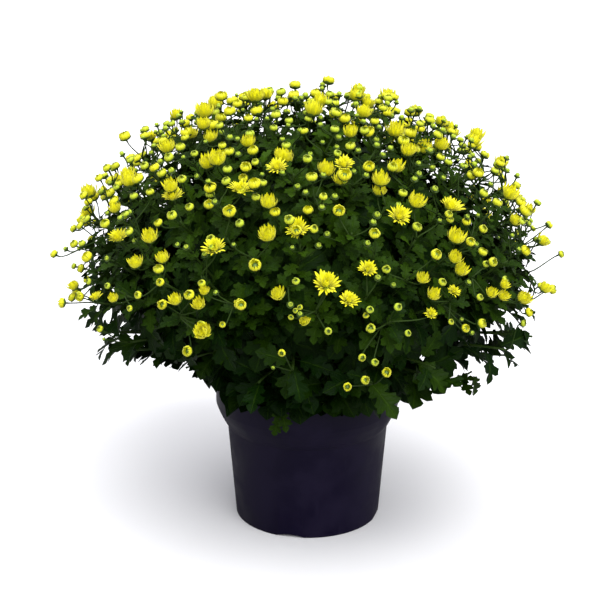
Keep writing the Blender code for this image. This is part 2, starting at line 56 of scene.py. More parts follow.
# The part's own layout, with the same numbers as its source
POT_HEIGHT = 0.149
RIM_RADIUS = 0.095
BASE_RADIUS = 0.075
WALL = 0.0015
FLOOR = 0.002
COLLAR_FACE = 0.0245
SHOULDER_HEIGHT = 0.101
SHOULDER_RADIUS = 0.0833
NOTCH_COUNT = 4
NOTCH_WIDTH = 0.031
NOTCH_HEIGHT = 0.0034
NOTCH_TURN = math.radians(-104)
DRAIN_COUNT = 6
DRAIN_RADIUS = 0.005
DRAIN_CIRCLE = 0.046
SEAT_GAP = 0.0003
SOIL_TOP = 0.133
SOIL_CROWN = 0.003
HOLE_DEPTH = 0.022
DOME_RADIUS = 0.243
DOME_RISE = 0.180
DOME_CENTRE = 0.265
CORE_OUTSIDE = 0.74
CORE_INSIDE = 0.64
RINGS = (
    {"count": 1, "top": 0, "bottom": 24, "foot": 0.0},
    {"count": 6, "top": 24, "bottom": 58, "foot": 0.022},
    {"count": 9, "top": 58, "bottom": 120, "foot": 0.046},
)
STEM_RADIUS = 0.0038
SPRAYS = 27
MODELLED_HEADS = 5
SPRAY_BOTTOM = math.radians(96)
FRONT_LIFT = math.radians(13)
GOLDEN_TURN = math.pi * (3 - math.sqrt(5))
SEED = 41
TINY, BUD, CUP, BLOOM = range(4)
# Known heads: angle from the dome's top, turn from the front, share of the dome, radius, kind
PLACED_HEADS = (
    (69, 4, 1.00, 0.0160, BLOOM), (74, 9, 1.00, 0.0120, BLOOM), (54, -3, 1.00, 0.0130, BLOOM),
    (61, -24, 1.00, 0.0130, BLOOM), (43, -22, 1.00, 0.0125, BLOOM), (49, -44, 1.00, 0.0120, BLOOM),
    (35, -12, 1.00, 0.0110, BLOOM), (52, 26, 1.00, 0.0130, BLOOM), (52, 44, 1.00, 0.0140, BLOOM),
    (34, 14, 1.00, 0.0110, BLOOM), (65, -55, 1.00, 0.0125, BLOOM), (66, 14, 1.00, 0.0110, BLOOM),
    (84, -88, 1.06, 0.0060, BUD), (84, 88, 1.06, 0.0060, BUD), (80, 178, 1.06, 0.0060, BUD),
    (76, -14, 1.06, 0.0060, BUD),
)

# The outside of the pot's wall, from its foot to its rim
COLLAR = POT_HEIGHT - COLLAR_FACE
POT_PROFILE = (
    (BASE_RADIUS, 0),
    (SHOULDER_RADIUS, SHOULDER_HEIGHT),
    (SHOULDER_RADIUS + 0.0035, SHOULDER_HEIGHT + 0.0050),
    (RIM_RADIUS - 0.0030, COLLAR - 0.0080),
    (RIM_RADIUS, COLLAR),
    (RIM_RADIUS, POT_HEIGHT),
)
POT_BEVEL = 0.0011
# Rings on the base's flat faces, between its middle and the wall
BASE_RINGS = (0.030, 0.063)
POT_COLUMNS = 180
SHARP_ANGLE = math.radians(40)
CUT_MARGIN = 0.002
MIX_COLUMNS = 96

UP = np.array((0, 0, 1.0))
CENTRE = np.array((0, 0, DOME_CENTRE))
AXES = np.array((DOME_RADIUS, DOME_RADIUS, DOME_RISE))

# The dressed plant's own layout
SHOOTS = 156
SHOOT_LEAVES = 24
INNER_LEAVES = 5
LOW_SHOOT_LEAVES = 10
STEM_LEAVES = 12
SHOOT_RADII = (0.0019, 0.0011)
STALK_RADII = (0.0008, 0.0006)
STALK_LENGTH = 0.024
# A shoot's start as a share of its stem, and its tip as a share of the dome: least and range
SHOOT_STARTS = (0.50, 0.38)
SHOOT_TIPS = (0.885, 0.065)
# The size of a shoot's leaves along it
LEAF_SIZES = ((0, 0.55, 0.8, 1), (0.9, 1.0, 0.85, 0.55))
# A leaf is of the low kind where its shoot ends below this height, fully so by the depth
LOW_LEAF_HEIGHT = DOME_CENTRE + 0.04
LOW_LEAF_DEPTH = 0.13
# The low shoots of each outer stem: turn from the stem's, reach, height over the hem, start on the stem
LOW_SHOOTS = ((-0.24, 0.02, 0.25), (0.150, 0.165, 0.180), (0.022, 0.030, 0.046), (3, 4, 6))
# Twigs that trail over the rim: the stem, the corners of the curve, and for each leaf its point on it,
# its turn and dip in degrees and its length
TWIGS = (
    {
        "stem": 8,
        "corners": ((0.088, -0.006, 0.184), (0.124, -0.010, 0.120), (0.170, -0.004, 0.156)),
        "at": (7, 8, 9, 10, 11),
        "turn": (60, 140, 75, 20, 105),
        "dip": (-10, 10, -25, 5, 70),
        "length": (0.026, 0.024, 0.028, 0.027, 0.033),
    },
    {
        "stem": 15,
        "corners": ((-0.020, -0.080, 0.184), (-0.026, -0.108, 0.178), (-0.028, -0.114, 0.154)),
        "at": (6, 8, 9, 10, 11),
        "turn": (-60, 40, -20, 20, -35),
        "dip": (-5, 20, 50, 35, 62),
        "length": (0.024, 0.026, 0.022, 0.027, 0.024),
    },
)
# The hem, where the foliage ends below: its slope outwards and its slope towards the front, its height
# at the middle, and how much higher it stands at each x. A share of the leaves may hang below it.
HEM_RISE = 0.13
HEM_FRONT = 0.344
HEM_MIDDLE = 0.1115
HEM_SIDES = (
    (-0.200, -0.155, -0.110, -0.100, -0.090, -0.080, 0.095, 0.105, 0.125, 0.150, 0.190, 0.240),
    (0.056, 0.051, 0.044, 0.036, 0.020, 0, 0, 0.013, 0.015, 0.036, 0.047, 0.052),
)
HANGING_SHARE = 0.14
HANGING_DROP = 0.009
# About a full turn, for random angles
ANY_TURN = 6.28
# A leaf's outline as shares of its length and of its half width: the stalk, two pairs of toothed side
# lobes and the end lobe. Each point of the edge has its point on the rib.
LEAF_EDGE = (
    0, 0.17, 0.22, 0.27, 0.33, 0.39, 0.45, 0.46, 0.53,
    0.58, 0.64, 0.72, 0.76, 0.74, 0.83, 0.90, 1.0,
)
LEAF_HALF = (
    0.03, 0.03, 0.18, 0.52, 0.50, 0.78, 0.62, 0.30, 0.56,
    0.92, 0.84, 1.0, 0.68, 0.32, 0.50, 0.38, 0.0,
)
LEAF_RIB = (
    0, 0.15, 0.20, 0.25, 0.30, 0.35, 0.40, 0.45, 0.50,
    0.55, 0.60, 0.65, 0.70, 0.75, 0.82, 0.90, 1.0,
)

# Small heads: how many there could be, and the share of them that open behind and in front, by the angle
# from the dome's top in degrees
SMALL_HEADS = 900
CROWDING_BEHIND = ((50, 75, 105), (1.0, 0.75, 0.35))
CROWDING_FORE = ((36, 52, 72, 80), (1.0, 0.70, 0.38, 0.0))
# Their share of the dome (least and range), how far they are moved, and the shares up to each kind
SMALL_DEPTHS = (0.945, 0.070)
SMALL_MOVES = (0.020, 0.020, 0.012)
SMALL_KINDS = (0.44, 0.90)
# Known small heads, in the same terms as the placed ones but with their radii in millimetres
LOW_HEADS = (
    (93, 12, 0.96, 4.2, BUD), (95, 15, 0.96, 4.7, BUD), (99, 18, 0.96, 4.2, BUD),
    (101, 13, 0.96, 4.7, BUD), (103, 9, 0.96, 3.6, BUD), (91, -6, 0.96, 3.6, BUD),
    (96, -8, 0.96, 2.6, TINY), (81, -1, 0.96, 5.7, CUP), (78, -3, 0.96, 3.1, BUD),
    (80, -4, 0.96, 3.1, BUD), (77, -2, 0.96, 3.1, BUD), (80, 13, 0.96, 3.1, BUD),
    (84, 14, 0.96, 5.2, BUD), (77, -16, 0.96, 4.7, BUD), (71, 27, 0.99, 6.8, CUP),
    (76, 29, 0.99, 7.3, CUP), (73, 32, 0.99, 4.7, BUD), (76, 35, 0.99, 7.3, BLOOM),
    (81, 28, 0.99, 7.3, BLOOM), (78, 20, 0.99, 5.2, BUD), (86, 22, 0.99, 4.2, BUD),
    (85, 33, 0.99, 3.4, BUD), (85, 36, 0.99, 3.1, TINY), (88, 37, 0.99, 4.2, BUD),
    (90, 39, 0.99, 3.1, TINY), (88, 42, 0.99, 5.2, BUD), (80, 46, 0.99, 6.2, CUP),
    (79, 51, 0.99, 5.7, CUP), (82, 50, 0.99, 6.5, CUP), (86, 58, 0.99, 6.8, CUP),
    (80, 42, 0.99, 4.2, BUD), (92, 62, 0.99, 4.2, BUD), (87, 71, 0.99, 4.2, BUD),
    (91, 78, 1.02, 5.2, BUD), (82, -62, 0.99, 4.2, BUD), (88, -73, 0.99, 6.8, CUP),
    (89, -67, 0.99, 4.2, BUD), (93, -73, 1.04, 4.7, BUD), (85, -58, 0.99, 7.8, BLOOM),
    (83, -50, 0.99, 5.7, CUP), (80, -53, 0.99, 4.2, BUD), (84, -44, 0.99, 3.6, BUD),
    (74, -36, 0.99, 4.2, BUD), (78, -31, 0.99, 7.3, CUP), (78, -25, 0.99, 6.8, CUP),
    (72, -25, 0.99, 4.2, BUD), (74, -24, 0.99, 5.2, CUP), (84, -24, 0.99, 5.2, BUD),
    (83, -19, 0.99, 3.1, BUD), (95, -56, 0.99, 4.2, BUD), (98, -55, 0.99, 2.6, TINY),
)
# The share of those radii that they are built with
LOW_HEAD_SIZE = 0.88
# How large a head grows by the angle from the dome's top, in degrees
CROWN_GROWTH = ((25, 75, 100), (1.10, 0.98, 0.88))
# How light a leaf is by its height: partly its age, and partly painted light on top and painted shade
# low down
LEAF_AGE_AND_LIGHT_TONES = ((POT_HEIGHT, DOME_CENTRE, DOME_CENTRE + DOME_RISE), (-0.30, -0.02, 0.52))

# Petal rows: count, radius and height of the foot, length, half width, slopes in degrees at the foot and
# the tip, and how far the edges lift
PETAL_ROWS = {
    TINY: ((6, 0.30, 0.42, 1.30, 0.34, 25, 165, 0.05),),
    BUD: ((12, 0.50, 0.10, 1.78, 0.33, 14, 178, 0.16),),
    CUP: (
        (16, 0.38, 0.08, 1.56, 0.21, 28, 100, 0.12),
        (13, 0.30, 0.14, 1.50, 0.19, 50, 106, 0.12),
        (10, 0.20, 0.18, 1.42, 0.18, 68, 106, 0.12),
        (6, 0.10, 0.22, 1.28, 0.16, 80, 104, 0.12),
    ),
    BLOOM: (
        (19, 0.30, 0.08, 0.86, 0.115, 50, 22, 0.06),
        (17, 0.27, 0.12, 0.84, 0.110, 58, 42, 0.06),
        (14, 0.23, 0.16, 0.78, 0.105, 68, 60, 0.06),
        (11, 0.17, 0.18, 0.70, 0.100, 76, 80, 0.06),
        (7, 0.10, 0.20, 0.58, 0.095, 84, 96, 0.06),
    ),
}
# Green cups: radius and height of each ring, the last one with its dips between the bracts
CUP_RINGS = {
    TINY: ((0.16, -0.12), (0.60, 0.04), (0.95, 0.38), (0.99, 0.62), (0.96, 0.46)),
    BUD: ((0.12, -0.12), (0.50, -0.02), (0.88, 0.16), (1.03, 0.48), (1.00, 0.30)),
    CUP: ((0.11, -0.12), (0.40, -0.04), (0.68, 0.12), (0.86, 0.40), (0.80, 0.22)),
    BLOOM: ((0.08, -0.12), (0.26, -0.02), (0.38, 0.10), (0.46, 0.26), (0.42, 0.16)),
}
# For each kind of head: its size against the part's own heads
HEAD_SHARES = (0.82, 0.71, 0.83, 0.88)
# The least radius of each kind of small head, and how much it may grow
SMALL_RADII = ((0.0034, 0.0012), (0.0053, 0.0020), (0.0078, 0.0020))
# How far each kind turns from the dome's outward direction to the light above
UPWARD = (0.3, 0.3, 1.1, 0.9)
# Each kind's least tone and how much it may grow, and how ragged its petals are
HEAD_TONES = ((0.05, 0.15), (0.20, 0.60), (0.75, 0.20), (0.95, 0.05))
RAGGED = (0.0, 0.1, 0.6, 1.0)
# The domed middle inside the petals: radius, height of its edge and of its top
MIDDLES = {
    TINY: (0.55, 0.60, 1.05),
    BUD: (0.52, 0.50, 0.78),
    CUP: (0.40, 0.40, 0.95),
    BLOOM: (0.17, 0.30, 0.50),
}

# The studio: where each light stands and its spread in degrees, what both face, the light from all round
# and how far the floor reaches
KEY_LIGHT = ((0.9, -1.7, 2.4), 60)
TOP_LIGHT = ((-0.4, 0.5, 3.0), 90)
LIT_SPOT = (0, 0, 0.25)
SKY_COLOUR = (0.94, 0.94, 1.10)
FLOOR_REACH = 6
# The camera: what it faces, from how far and how steeply, and its focal length in pixels
VIEW_TARGET = (-0.0083, 0, 0.2327)
VIEW_DISTANCE = 1.968
VIEW_PITCH = math.radians(19)
FOCAL_PIXELS = 1923
PICTURE_PIXELS = 600
SENSOR_WIDTH = 36


def a_colour(name, description, default):
    """A colour setting."""
    return FloatVectorProperty(
        name=name, description=description, subtype="COLOR", default=default, min=0, max=1
    )


def a_number(name, description, default, low=0, high=1, **kind):
    """A number setting, with its unit or subtype."""
    return FloatProperty(name=name, description=description, default=default, min=low, max=high, **kind)


def a_share(name, description, default, low=0, high=1):
    """A setting that is a share of something."""
    return a_number(name, description, default, low, high, subtype="FACTOR")


class PotSettings(bpy.types.PropertyGroup):
    colour: a_colour("Plastic", "Colour of the pot's plastic", (0.0034, 0.0012, 0.0150))
    dust: a_colour("Dust", "Colour of the dry splashes and dust on the pot", (0.020, 0.015, 0.040))
    roughness: a_share("Roughness", "Roughness of clean plastic", 0.36)
    mix_colour: a_colour("Potting mix", "Colour of the damp potting mix", (0.020, 0.012, 0.007))


class FoliageSettings(bpy.types.PropertyGroup):
    top_leaf: a_number("Upper leaf", "Usual length of a high leaf", 0.031, 0.01, 0.1, unit="LENGTH")
    low_leaf: a_number("Lower leaf", "Usual length of a low leaf", 0.072, 0.01, 0.1, unit="LENGTH")
    width: a_share("Leaf width", "Width of a leaf as a share of its length", 0.56, 0.2)
    young: a_colour("Young leaf", "Colour of the lightest leaves", (0.046, 0.104, 0.0020))
    old: a_colour("Old leaf", "Colour of the darkest leaves", (0.0030, 0.0165, 0.0002))
    stalk: a_colour("Stalk", "Colour of the stems and stalks", (0.024, 0.054, 0.005))


class FlowerSettings(bpy.types.PropertyGroup):
    scale: a_share("Head size", "Size of the flower heads as a share of their own size", 1.0, 0.5, 1.2)
    open_colour: a_colour("Open petal", "Colour of the open petals", (0.96, 0.93, 0.002))
    bud_colour: a_colour("Bud petal", "Colour of the petals in a tight bud", (0.52, 0.72, 0.030))
    cup_colour: a_colour("Green cup", "Colour of the bracts below the petals", (0.085, 0.150, 0.022))


class StudioSettings(bpy.types.PropertyGroup):
    floor_colour: a_colour("Floor", "Colour of the floor", (0.92, 0.92, 0.92))
    key_power: a_number("Key light", "Strength of the main light", 2.85, 0, 20)
    top_power: a_number("Top light", "Strength of the light from above", 2.4, 0, 20)
    ambient: a_number("Ambient", "Strength of the light from all round", 0.36, 0, 5)
    bounce: a_share("Bounce", "Share of its own colour that the floor throws back up", 0.40)
    seed: IntProperty(name="Seed", description="Chooses among like layouts of leaves", default=7, min=0)


def unit(vectors):
    """The vectors at length one."""
    return vectors / np.maximum(np.linalg.norm(vectors, axis=-1, keepdims=True), 1e-12)


def dot(a, b):
    """The scalar products, kept as a last axis of one."""
    return (a * b).sum(axis=-1, keepdims=True)


def side_of(directions):
    """A direction square to each one: its cross product with the world axis that is furthest from it."""
    reference = np.eye(3)[np.argmin(np.abs(directions), axis=-1)]
    return unit(np.cross(directions, reference))


def round_axis(axis, side, angle):
    """The outward and sideways directions at angles round an axis: cosines and sines of two sides."""
    other = np.cross(axis, side)
    cosine, sine = np.cos(angle)[..., None], np.sin(angle)[..., None]
    return side * cosine + other * sine, other * cosine - side * sine


def reach_of(points):
    """How far points lie from the pot's axis."""
    return np.linalg.norm(points[..., :2], axis=-1)


def heading(turn, dip=0.0):
    """The direction at a turn from the front that dips below level: sines and cosines of both."""
    level = np.cos(dip)
    parts = (np.sin(turn) * level, -np.cos(turn) * level, -np.sin(dip))
    return np.stack(np.broadcast_arrays(*parts), -1)


def dome_point(polar, turn, share=1.0):
    """Points of an ellipsoid by the angles from its top and from its front and the share of its size."""
    flat = DOME_RADIUS * share * np.sin(polar)
    rise = DOME_CENTRE + DOME_RISE * share * np.cos(polar)
    return np.stack(np.broadcast_arrays(flat * np.sin(turn), -flat * np.cos(turn), rise), -1)


def dome_out(points):
    """The ellipsoid's outward direction at points: each coordinate over its half axis squared."""
    return unit((points - CENTRE) / AXES**2)


def dome_share(points):
    """How far out points lie, as a share of the ellipsoid: their length over its half axes."""
    return np.linalg.norm((points - CENTRE) / AXES, axis=-1, keepdims=True)


def dome_spiral(count):
    """Even angles on a golden spiral over the flowering part of the dome.

    The cosine of the polar angle falls evenly and the turn grows evenly. The front is lifted.
    """
    number = np.arange(count)
    polar = np.arccos(1 - (1 - math.cos(SPRAY_BOTTOM)) * (number + 0.5) / count)
    turn = (number * GOLDEN_TURN) % math.tau
    return polar - FRONT_LIFT * np.maximum(0, np.cos(turn)) * polar / SPRAY_BOTTOM, turn


def spray_layout():
    """Every head's spray, place, axis, radius and kind, as whole arrays.

    The modelled heads come first. One lies at a golden-angle step round its spray, at a reach that grows
    with its number, and its distance from the dome's centre is scaled to a share near one. The small
    heads between them lie on a finer golden spiral, a little moved, and belong to the nearest spray.
    """
    number = np.arange(SPRAYS)[:, None]
    k = np.arange(MODELLED_HEADS)[None, :]
    polar, turn = dome_spiral(SPRAYS)
    middle = dome_point(polar, turn)
    draws = [np.random.default_rng([SEED, n]).random((MODELLED_HEADS, 6)) for n in range(SPRAYS)]
    draw = np.stack(draws)
    out, around = dome_out(middle), np.stack([np.cos(turn), np.sin(turn), 0 * turn], -1)
    down = np.cross(around, out)
    reach = 0.010 + 0.036 * np.sqrt(k / 5)
    angle = k * GOLDEN_TURN + number + 0.5 * draw[:, :, 0]
    aside = round_axis(out[:, None], down[:, None], angle)[0]
    flat = middle[:, None] + aside * reach[..., None]
    far = 0.04 * ((k == 3) & (number % 3 == 1))
    lift = (0.965 + 0.065 * draw[:, :, 1] + far)[..., None]
    place = (CENTRE + (flat - CENTRE) * lift / dome_share(flat)).reshape(-1, 3)
    kind, radius = (made.ravel() for made in head_kinds(k, number, draw[:, :, 4]))
    move_placed_heads(place, radius, kind)
    pairs = zip((place, radius, kind), small_heads())
    place, radius, kind = (np.concatenate(pair) for pair in pairs)
    owner = np.argmin(np.linalg.norm(place[:, None] - middle, axis=-1), axis=1)
    owner[: SPRAYS * MODELLED_HEADS] = np.repeat(np.arange(SPRAYS), MODELLED_HEADS)
    tilt = np.random.default_rng([SEED, SPRAYS]).random((len(place), 3)) - (0.5, 0.5, 0.15)
    upward = UP * np.array(UPWARD)[kind][:, None]
    return {
        "owner": owner,
        "place": place,
        "axis": unit(dome_out(place) + 0.6 * tilt + upward),
        "radius": radius * crown_growth(place),
        "kind": kind,
    }


def small_heads():
    """The places, radii and kinds of the heads between the modelled ones.

    A share of the spiral's points falls away where the dome has fewer heads. The known ones come last.
    """
    draw = np.random.default_rng([SEED, SMALL_HEADS]).random((SMALL_HEADS, 6))
    nearest, more = SMALL_DEPTHS
    place = dome_point(*dome_spiral(SMALL_HEADS), nearest + more * draw[:, 0])
    place = place + SMALL_MOVES * (draw[:, 1:4] - 0.5)
    kind = np.searchsorted(SMALL_KINDS, draw[:, 4], side="right")
    low, extent = np.array(SMALL_RADII)[kind].T
    radius = low + extent * draw[:, 5]
    kept = np.random.default_rng(SEED).random(SMALL_HEADS) * 0.999 < crowding(place)
    polar, turn, share, size, form = np.array(LOW_HEADS).T
    form = form.astype(int)
    known = dome_point(np.radians(polar), np.radians(turn), share)
    size = LOW_HEAD_SIZE * size / 1000 / np.array(HEAD_SHARES)[form] / crown_growth(known)
    return (
        np.concatenate([place[kept], known]),
        np.concatenate([radius[kept], size]),
        np.concatenate([kind[kept], form]),
    )


def polar_of(place):
    """The angle of places from the dome's top, in degrees, on the dome scaled to a sphere."""
    height = (place[..., 2] - DOME_CENTRE) / DOME_RISE
    return np.degrees(np.arctan2(reach_of(place) / DOME_RADIUS, height))


def crowding(place):
    """The share of small heads that open at a place: all at the top, fewer low down, none low in front.

    The few that do open low in front have places of their own.
    """
    polar = polar_of(place)
    fore, behind = (np.interp(polar, *known) for known in (CROWDING_FORE, CROWDING_BEHIND))
    return np.where(place[..., 1] < 0, fore, behind)


def crown_growth(place):
    """Heads grow largest at the top: a share that falls with the angle from the dome's top."""
    return np.interp(polar_of(place), *CROWN_GROWTH)


def head_kinds(k, number, chance):
    """The kind and radius of each modelled head: the middle one of a spray opens first."""
    bloom = (k == 0) & (number % 5 == 2) & (number > 4)
    cup = (k == 1) & ((number + k) % 3 != 0)
    choices = (bloom, k == 0, cup)
    sizes = (0.0115 + 0.002 * chance, 0.0085 + 0.002 * chance, 0.0075 + 0.0015 * chance)
    radius = np.select(choices, sizes, 0.0053 + 0.0017 * chance)
    return np.select(choices, (BLOOM, CUP, CUP), BUD), radius


def move_placed_heads(place, radius, kind):
    """Moves the modelled head nearest to each known place there, with its kind and size."""
    free = np.ones(len(place), bool)
    for polar, turn, share, size, form in PLACED_HEADS:
        spot = dome_point(math.radians(polar), math.radians(turn), share)
        at = np.argmin(np.where(free, np.linalg.norm(place - spot, axis=-1), np.inf))
        place[at], radius[at], kind[at], free[at] = spot, size, form, False


def bezier(corners, points):
    """Cubic curves from four corner points each: the corners weighted with the Bernstein cubics."""
    t = np.linspace(0, 1, points)[None, :, None]
    a, b, c, d = (corners[:, k, None, :] for k in range(4))
    return a * (1 - t) ** 3 + 3 * b * t * (1 - t) ** 2 + 3 * c * t**2 * (1 - t) + d * t**3


def stem_layout():
    """The sixteen stems: their ring number, middle angle and line, as in the part's source.

    A line goes straight up out of its hole and then follows a cubic curve to the middle of its share.
    """
    ring_number, turns, corners, lows = [], [], [], []
    for n, ring in enumerate(RINGS):
        turn = math.tau * (np.arange(ring["count"]) + 0.5 * (ring["count"] % 2)) / ring["count"]
        polar = math.radians(ring["top"] + ring["bottom"]) / 2 if ring["count"] > 1 else 0.0
        head = dome_point(polar, turn, (CORE_INSIDE + CORE_OUTSIDE) / 2)
        foot = heading(turn) * ring["foot"]
        knee = foot * 1.15 + UP * (SOIL_TOP + 0.045)
        reach = head * (0.62, 0.62, 1) - UP * 0.035
        ring_number.append(np.full(len(turn), n))
        turns.append(turn)
        corners.append(np.stack([foot + UP * (SOIL_TOP + 0.010), knee, reach, head], 1))
        lows.append(foot + UP * (SOIL_TOP - HOLE_DEPTH))
    corners, lows = np.concatenate(corners), np.concatenate(lows)
    path = np.concatenate([lows[:, None, :], bezier(corners, 20)], axis=1)
    return {"ring": np.concatenate(ring_number), "turn": np.concatenate(turns), "path": path}


def owners(polar, turn, stems):
    """The number of the stem whose share of the dome holds each pair of angles."""
    degrees = np.degrees(polar)
    ring = np.searchsorted([r["bottom"] for r in RINGS[:-1]], degrees, side="right")
    aside = np.abs((turn[:, None] - stems["turn"][None, :] + math.pi) % math.tau - math.pi)
    return np.argmin(np.where(stems["ring"][None, :] == ring[:, None], aside, np.inf), axis=1)


def clear_of_pot(points):
    """Lifts points out of the pot and its filling.

    The lowest height allowed is just over the rim inside it, and falls steeply outside it.
    """
    lowest = np.interp(
        reach_of(points),
        (0, RIM_RADIUS - 0.012, RIM_RADIUS - 0.004, RIM_RADIUS + 0.002, RIM_RADIUS + 0.004),
        (SOIL_TOP + 0.004, SOIL_TOP + 0.006, POT_HEIGHT + 0.002, POT_HEIGHT + 0.0015, 0.06),
    )
    lifted = points.copy()
    lifted[..., 2] = np.maximum(points[..., 2], lowest)
    return lifted


def tubes(paths, radii, sides, ridge=0.0):
    """Rings of points round paths (n, m, 3): each ring is a circle square to the path, with five ridges.

    The radii are given for each path and point, or as fewer values that hold for all of them.
    """
    tangent = unit(np.gradient(paths, axis=1))
    reference = np.eye(3)[np.argmin(np.abs(tangent.mean(axis=1)), axis=-1)][:, None, :]
    first = unit(reference - tangent * dot(tangent, reference))
    angle = np.linspace(0, math.tau, sides, endpoint=False)
    radius = np.atleast_2d(radii)[:, :, None] * (1 + ridge * np.cos(5 * angle))
    out = round_axis(tangent[:, :, None, :], first[:, :, None, :], angle)[0]
    return paths[:, :, None, :] + radius[..., None] * out


def leaf_grids(leaves, width, columns):
    """Lobed blades on a grid along and across each leaf.

    A point lies between the rib's and the edge's own places along the leaf, at its share of the edge's
    half width. The blade is folded up along its rib, ripples at its edges, and bends down in a circle.
    """
    across = np.linspace(-1, 1, columns)[None, None, :]
    aside = np.abs(across)
    edge, rib, half_width = (np.array(c)[None, :, None] for c in (LEAF_EDGE, LEAF_RIB, LEAF_HALF))
    along = rib + (edge - rib) * aside
    keys = ("length", "droop", "fold", "phase")
    length, droop, fold, phase = (leaves[key][:, None, None] for key in keys)
    half = length * width / 2 * half_width
    ripple = 0.13 * half * aside * np.sin(15 * along + ANY_TURN * phase + 2 * across)
    lift = fold * half * aside + ripple
    bend = droop * along
    reach = length * np.sin(bend) / droop + np.sin(bend) * lift
    dip = length * (1 - np.cos(bend)) / droop - np.cos(bend) * lift
    forward = unit(leaves["forward"])
    sideways = unit(np.cross(forward, leaves["up"]))
    up = np.cross(sideways, forward)
    root, forward, sideways, up = (v[:, None, None, :] for v in (leaves["root"], forward, sideways, up))
    offset = (across * half)[..., None]
    points = root + forward * reach[..., None] - up * dip[..., None] + sideways * offset
    return clear_of_pot(raise_leaves(points, rib, leaves["allowed"]))


def hem(points):
    """The lowest height of the foliage.

    It climbs outwards from the rim, and steadily towards the front, and it stands higher at both sides.
    """
    fore = np.maximum(0, -points[..., 1])
    aside = np.interp(points[..., 0], *HEM_SIDES)
    climb = POT_HEIGHT - 0.003 + HEM_RISE * (reach_of(points) - RIM_RADIUS)
    return np.maximum(climb, HEM_MIDDLE + HEM_FRONT * fore + aside)


def raise_leaves(points, along, allowed):
    """Turns each leaf up about its root until it is no further below the hem than it is allowed."""
    short = (hem(points) - points[..., 2]) / np.maximum(along, 0.25)
    short = np.where(reach_of(points) > RIM_RADIUS, short, 0)
    need = np.maximum(short.max(axis=(1, 2), initial=0) - allowed, 0)
    raised = points.copy()
    raised[..., 2] += need[:, None, None] * along
    return raised


def shoot_leaves(paths, owner, length, start, draw, light):
    """Leaves up each shoot, a golden angle apart, longest in the middle of the shoot.

    A leaf leans away from its shoot, and its upper side faces the shoot's tip and the light above.
    """
    n, m = paths.shape[:2]
    count = draw.shape[1]
    tangent = unit(np.gradient(paths, axis=1))
    along = start + (0.985 - start) * (np.arange(count)[None, :] + draw[:, :, 0] * 0.5) / count
    at = np.clip(along * (m - 1), 0, m - 1.001)
    low = at.astype(int)
    rest = (at - low)[..., None]
    rows = np.arange(n)[:, None]
    root = paths[rows, low] * (1 - rest) + paths[rows, low + 1] * rest
    axis = unit(tangent[rows, low] * (1 - rest) + tangent[rows, low + 1] * rest)
    angle = np.arange(count) * GOLDEN_TURN + rows * 1.7 + draw[:, :, 1]
    away = round_axis(axis, side_of(axis), angle)[0]
    lean = np.radians(12 + 34 * along + 18 * draw[:, :, 2])[..., None]
    forward = away * np.cos(lean) + axis * np.sin(lean)
    up = unit(axis * np.cos(lean) - away * np.sin(lean) + light[:, None, :])
    forward = unit(forward - 0.45 * up * dot(forward, up))
    size = length[:, None] * np.interp(along, *LEAF_SIZES)
    return {
        "root": root,
        "forward": forward,
        "up": up,
        "length": size * (0.82 + 0.36 * draw[:, :, 3]),
        # The tone holds painted light and shade by height, besides the leaf's age and chance
        "tone": np.clip(age_and_light_tone(root) + 0.5 * draw[:, :, 4] ** 1.5 + 0.4 * (along - 0.8), 0, 1),
        "droop": 0.35 + 0.75 * draw[:, :, 5],
        "fold": 0.10 + 0.35 * draw[:, :, 6],
        "phase": draw[:, :, 7],
        "owner": np.repeat(owner[:, None], count, axis=1),
    }


def age_and_light_tone(root):
    """How light a leaf is by its height: old and dark near the rim, fresher towards the top, with
    painted light on top and painted shade low down.
    """
    return np.interp(root[..., 2], *LEAF_AGE_AND_LIGHT_TONES)


def petal_grids(heads, row, rows=5):
    """The petals of one row of each head (n heads, count petals), on a grid along and across each petal.

    A petal's middle line starts at the row's foot and turns evenly from its first slope to its last. Its
    half width swells from the foot and rounds off at the tip, and its edges lift towards its inner side.
    """
    count, foot, rise, length, half, slope_a, slope_b, cup = row
    draw = heads["draw"][:, :count]
    v = np.linspace(0, 1, rows)[None, None, :, None]
    u = np.linspace(-1, 1, 3)[None, None, None, :]
    ragged = heads["ragged"][:, None]
    turn = math.tau * np.arange(count) / count
    spin = heads["spin"][:, None]
    lean = 14 * ragged * np.cos(turn + spin)
    first = np.radians(slope_a + lean + 10 * (draw[:, :, 0] - 0.5))[:, :, None, None]
    bent = lean - heads["opening"][:, None] + (18 + 22 * ragged) * (draw[:, :, 1] - 0.5)
    last = np.radians(slope_b + bent)[:, :, None, None]
    long = (length * (1 + (0.14 + 0.26 * ragged) * (draw[:, :, 2] - 0.6)))[:, :, None, None]
    slope = first + (last - first) * v
    bend = np.where(np.abs(last - first) < 0.02, 0.02, last - first)
    out = foot + long * (np.sin(first + bend * v) - np.sin(first)) / bend
    up = rise + long * (np.cos(first) - np.cos(first + bend * v)) / bend
    wide = half * (0.62 + 0.38 * np.sin(math.pi * v)) * np.sqrt(1 - 0.93 * v**4)
    inward = cup * u**2 * wide * 2
    out = out - inward * np.sin(slope)
    up = up + inward * np.cos(slope)
    aside = u * wide
    angle = spin + turn + math.tau * (0.3 + 0.4 * ragged) * draw[:, :, 3] / count
    e_out, e_side = (way[:, :, None, None, :] for way in ways_round(heads, angle))
    axis = heads["axis"][:, None, None, None, :]
    size = heads["radius"][:, None, None, None, None]
    local = e_out * out[..., None] + e_side * aside[..., None] + axis * up[..., None]
    grid = heads["foot"][:, None, None, None, :] + local * size
    return grid.reshape(-1, rows, 3, 3)


def ways_round(heads, angle):
    """The outward and sideways directions at angles round each head's axis."""
    return round_axis(heads["axis"][:, None, :], heads["side"][:, None, :], angle)


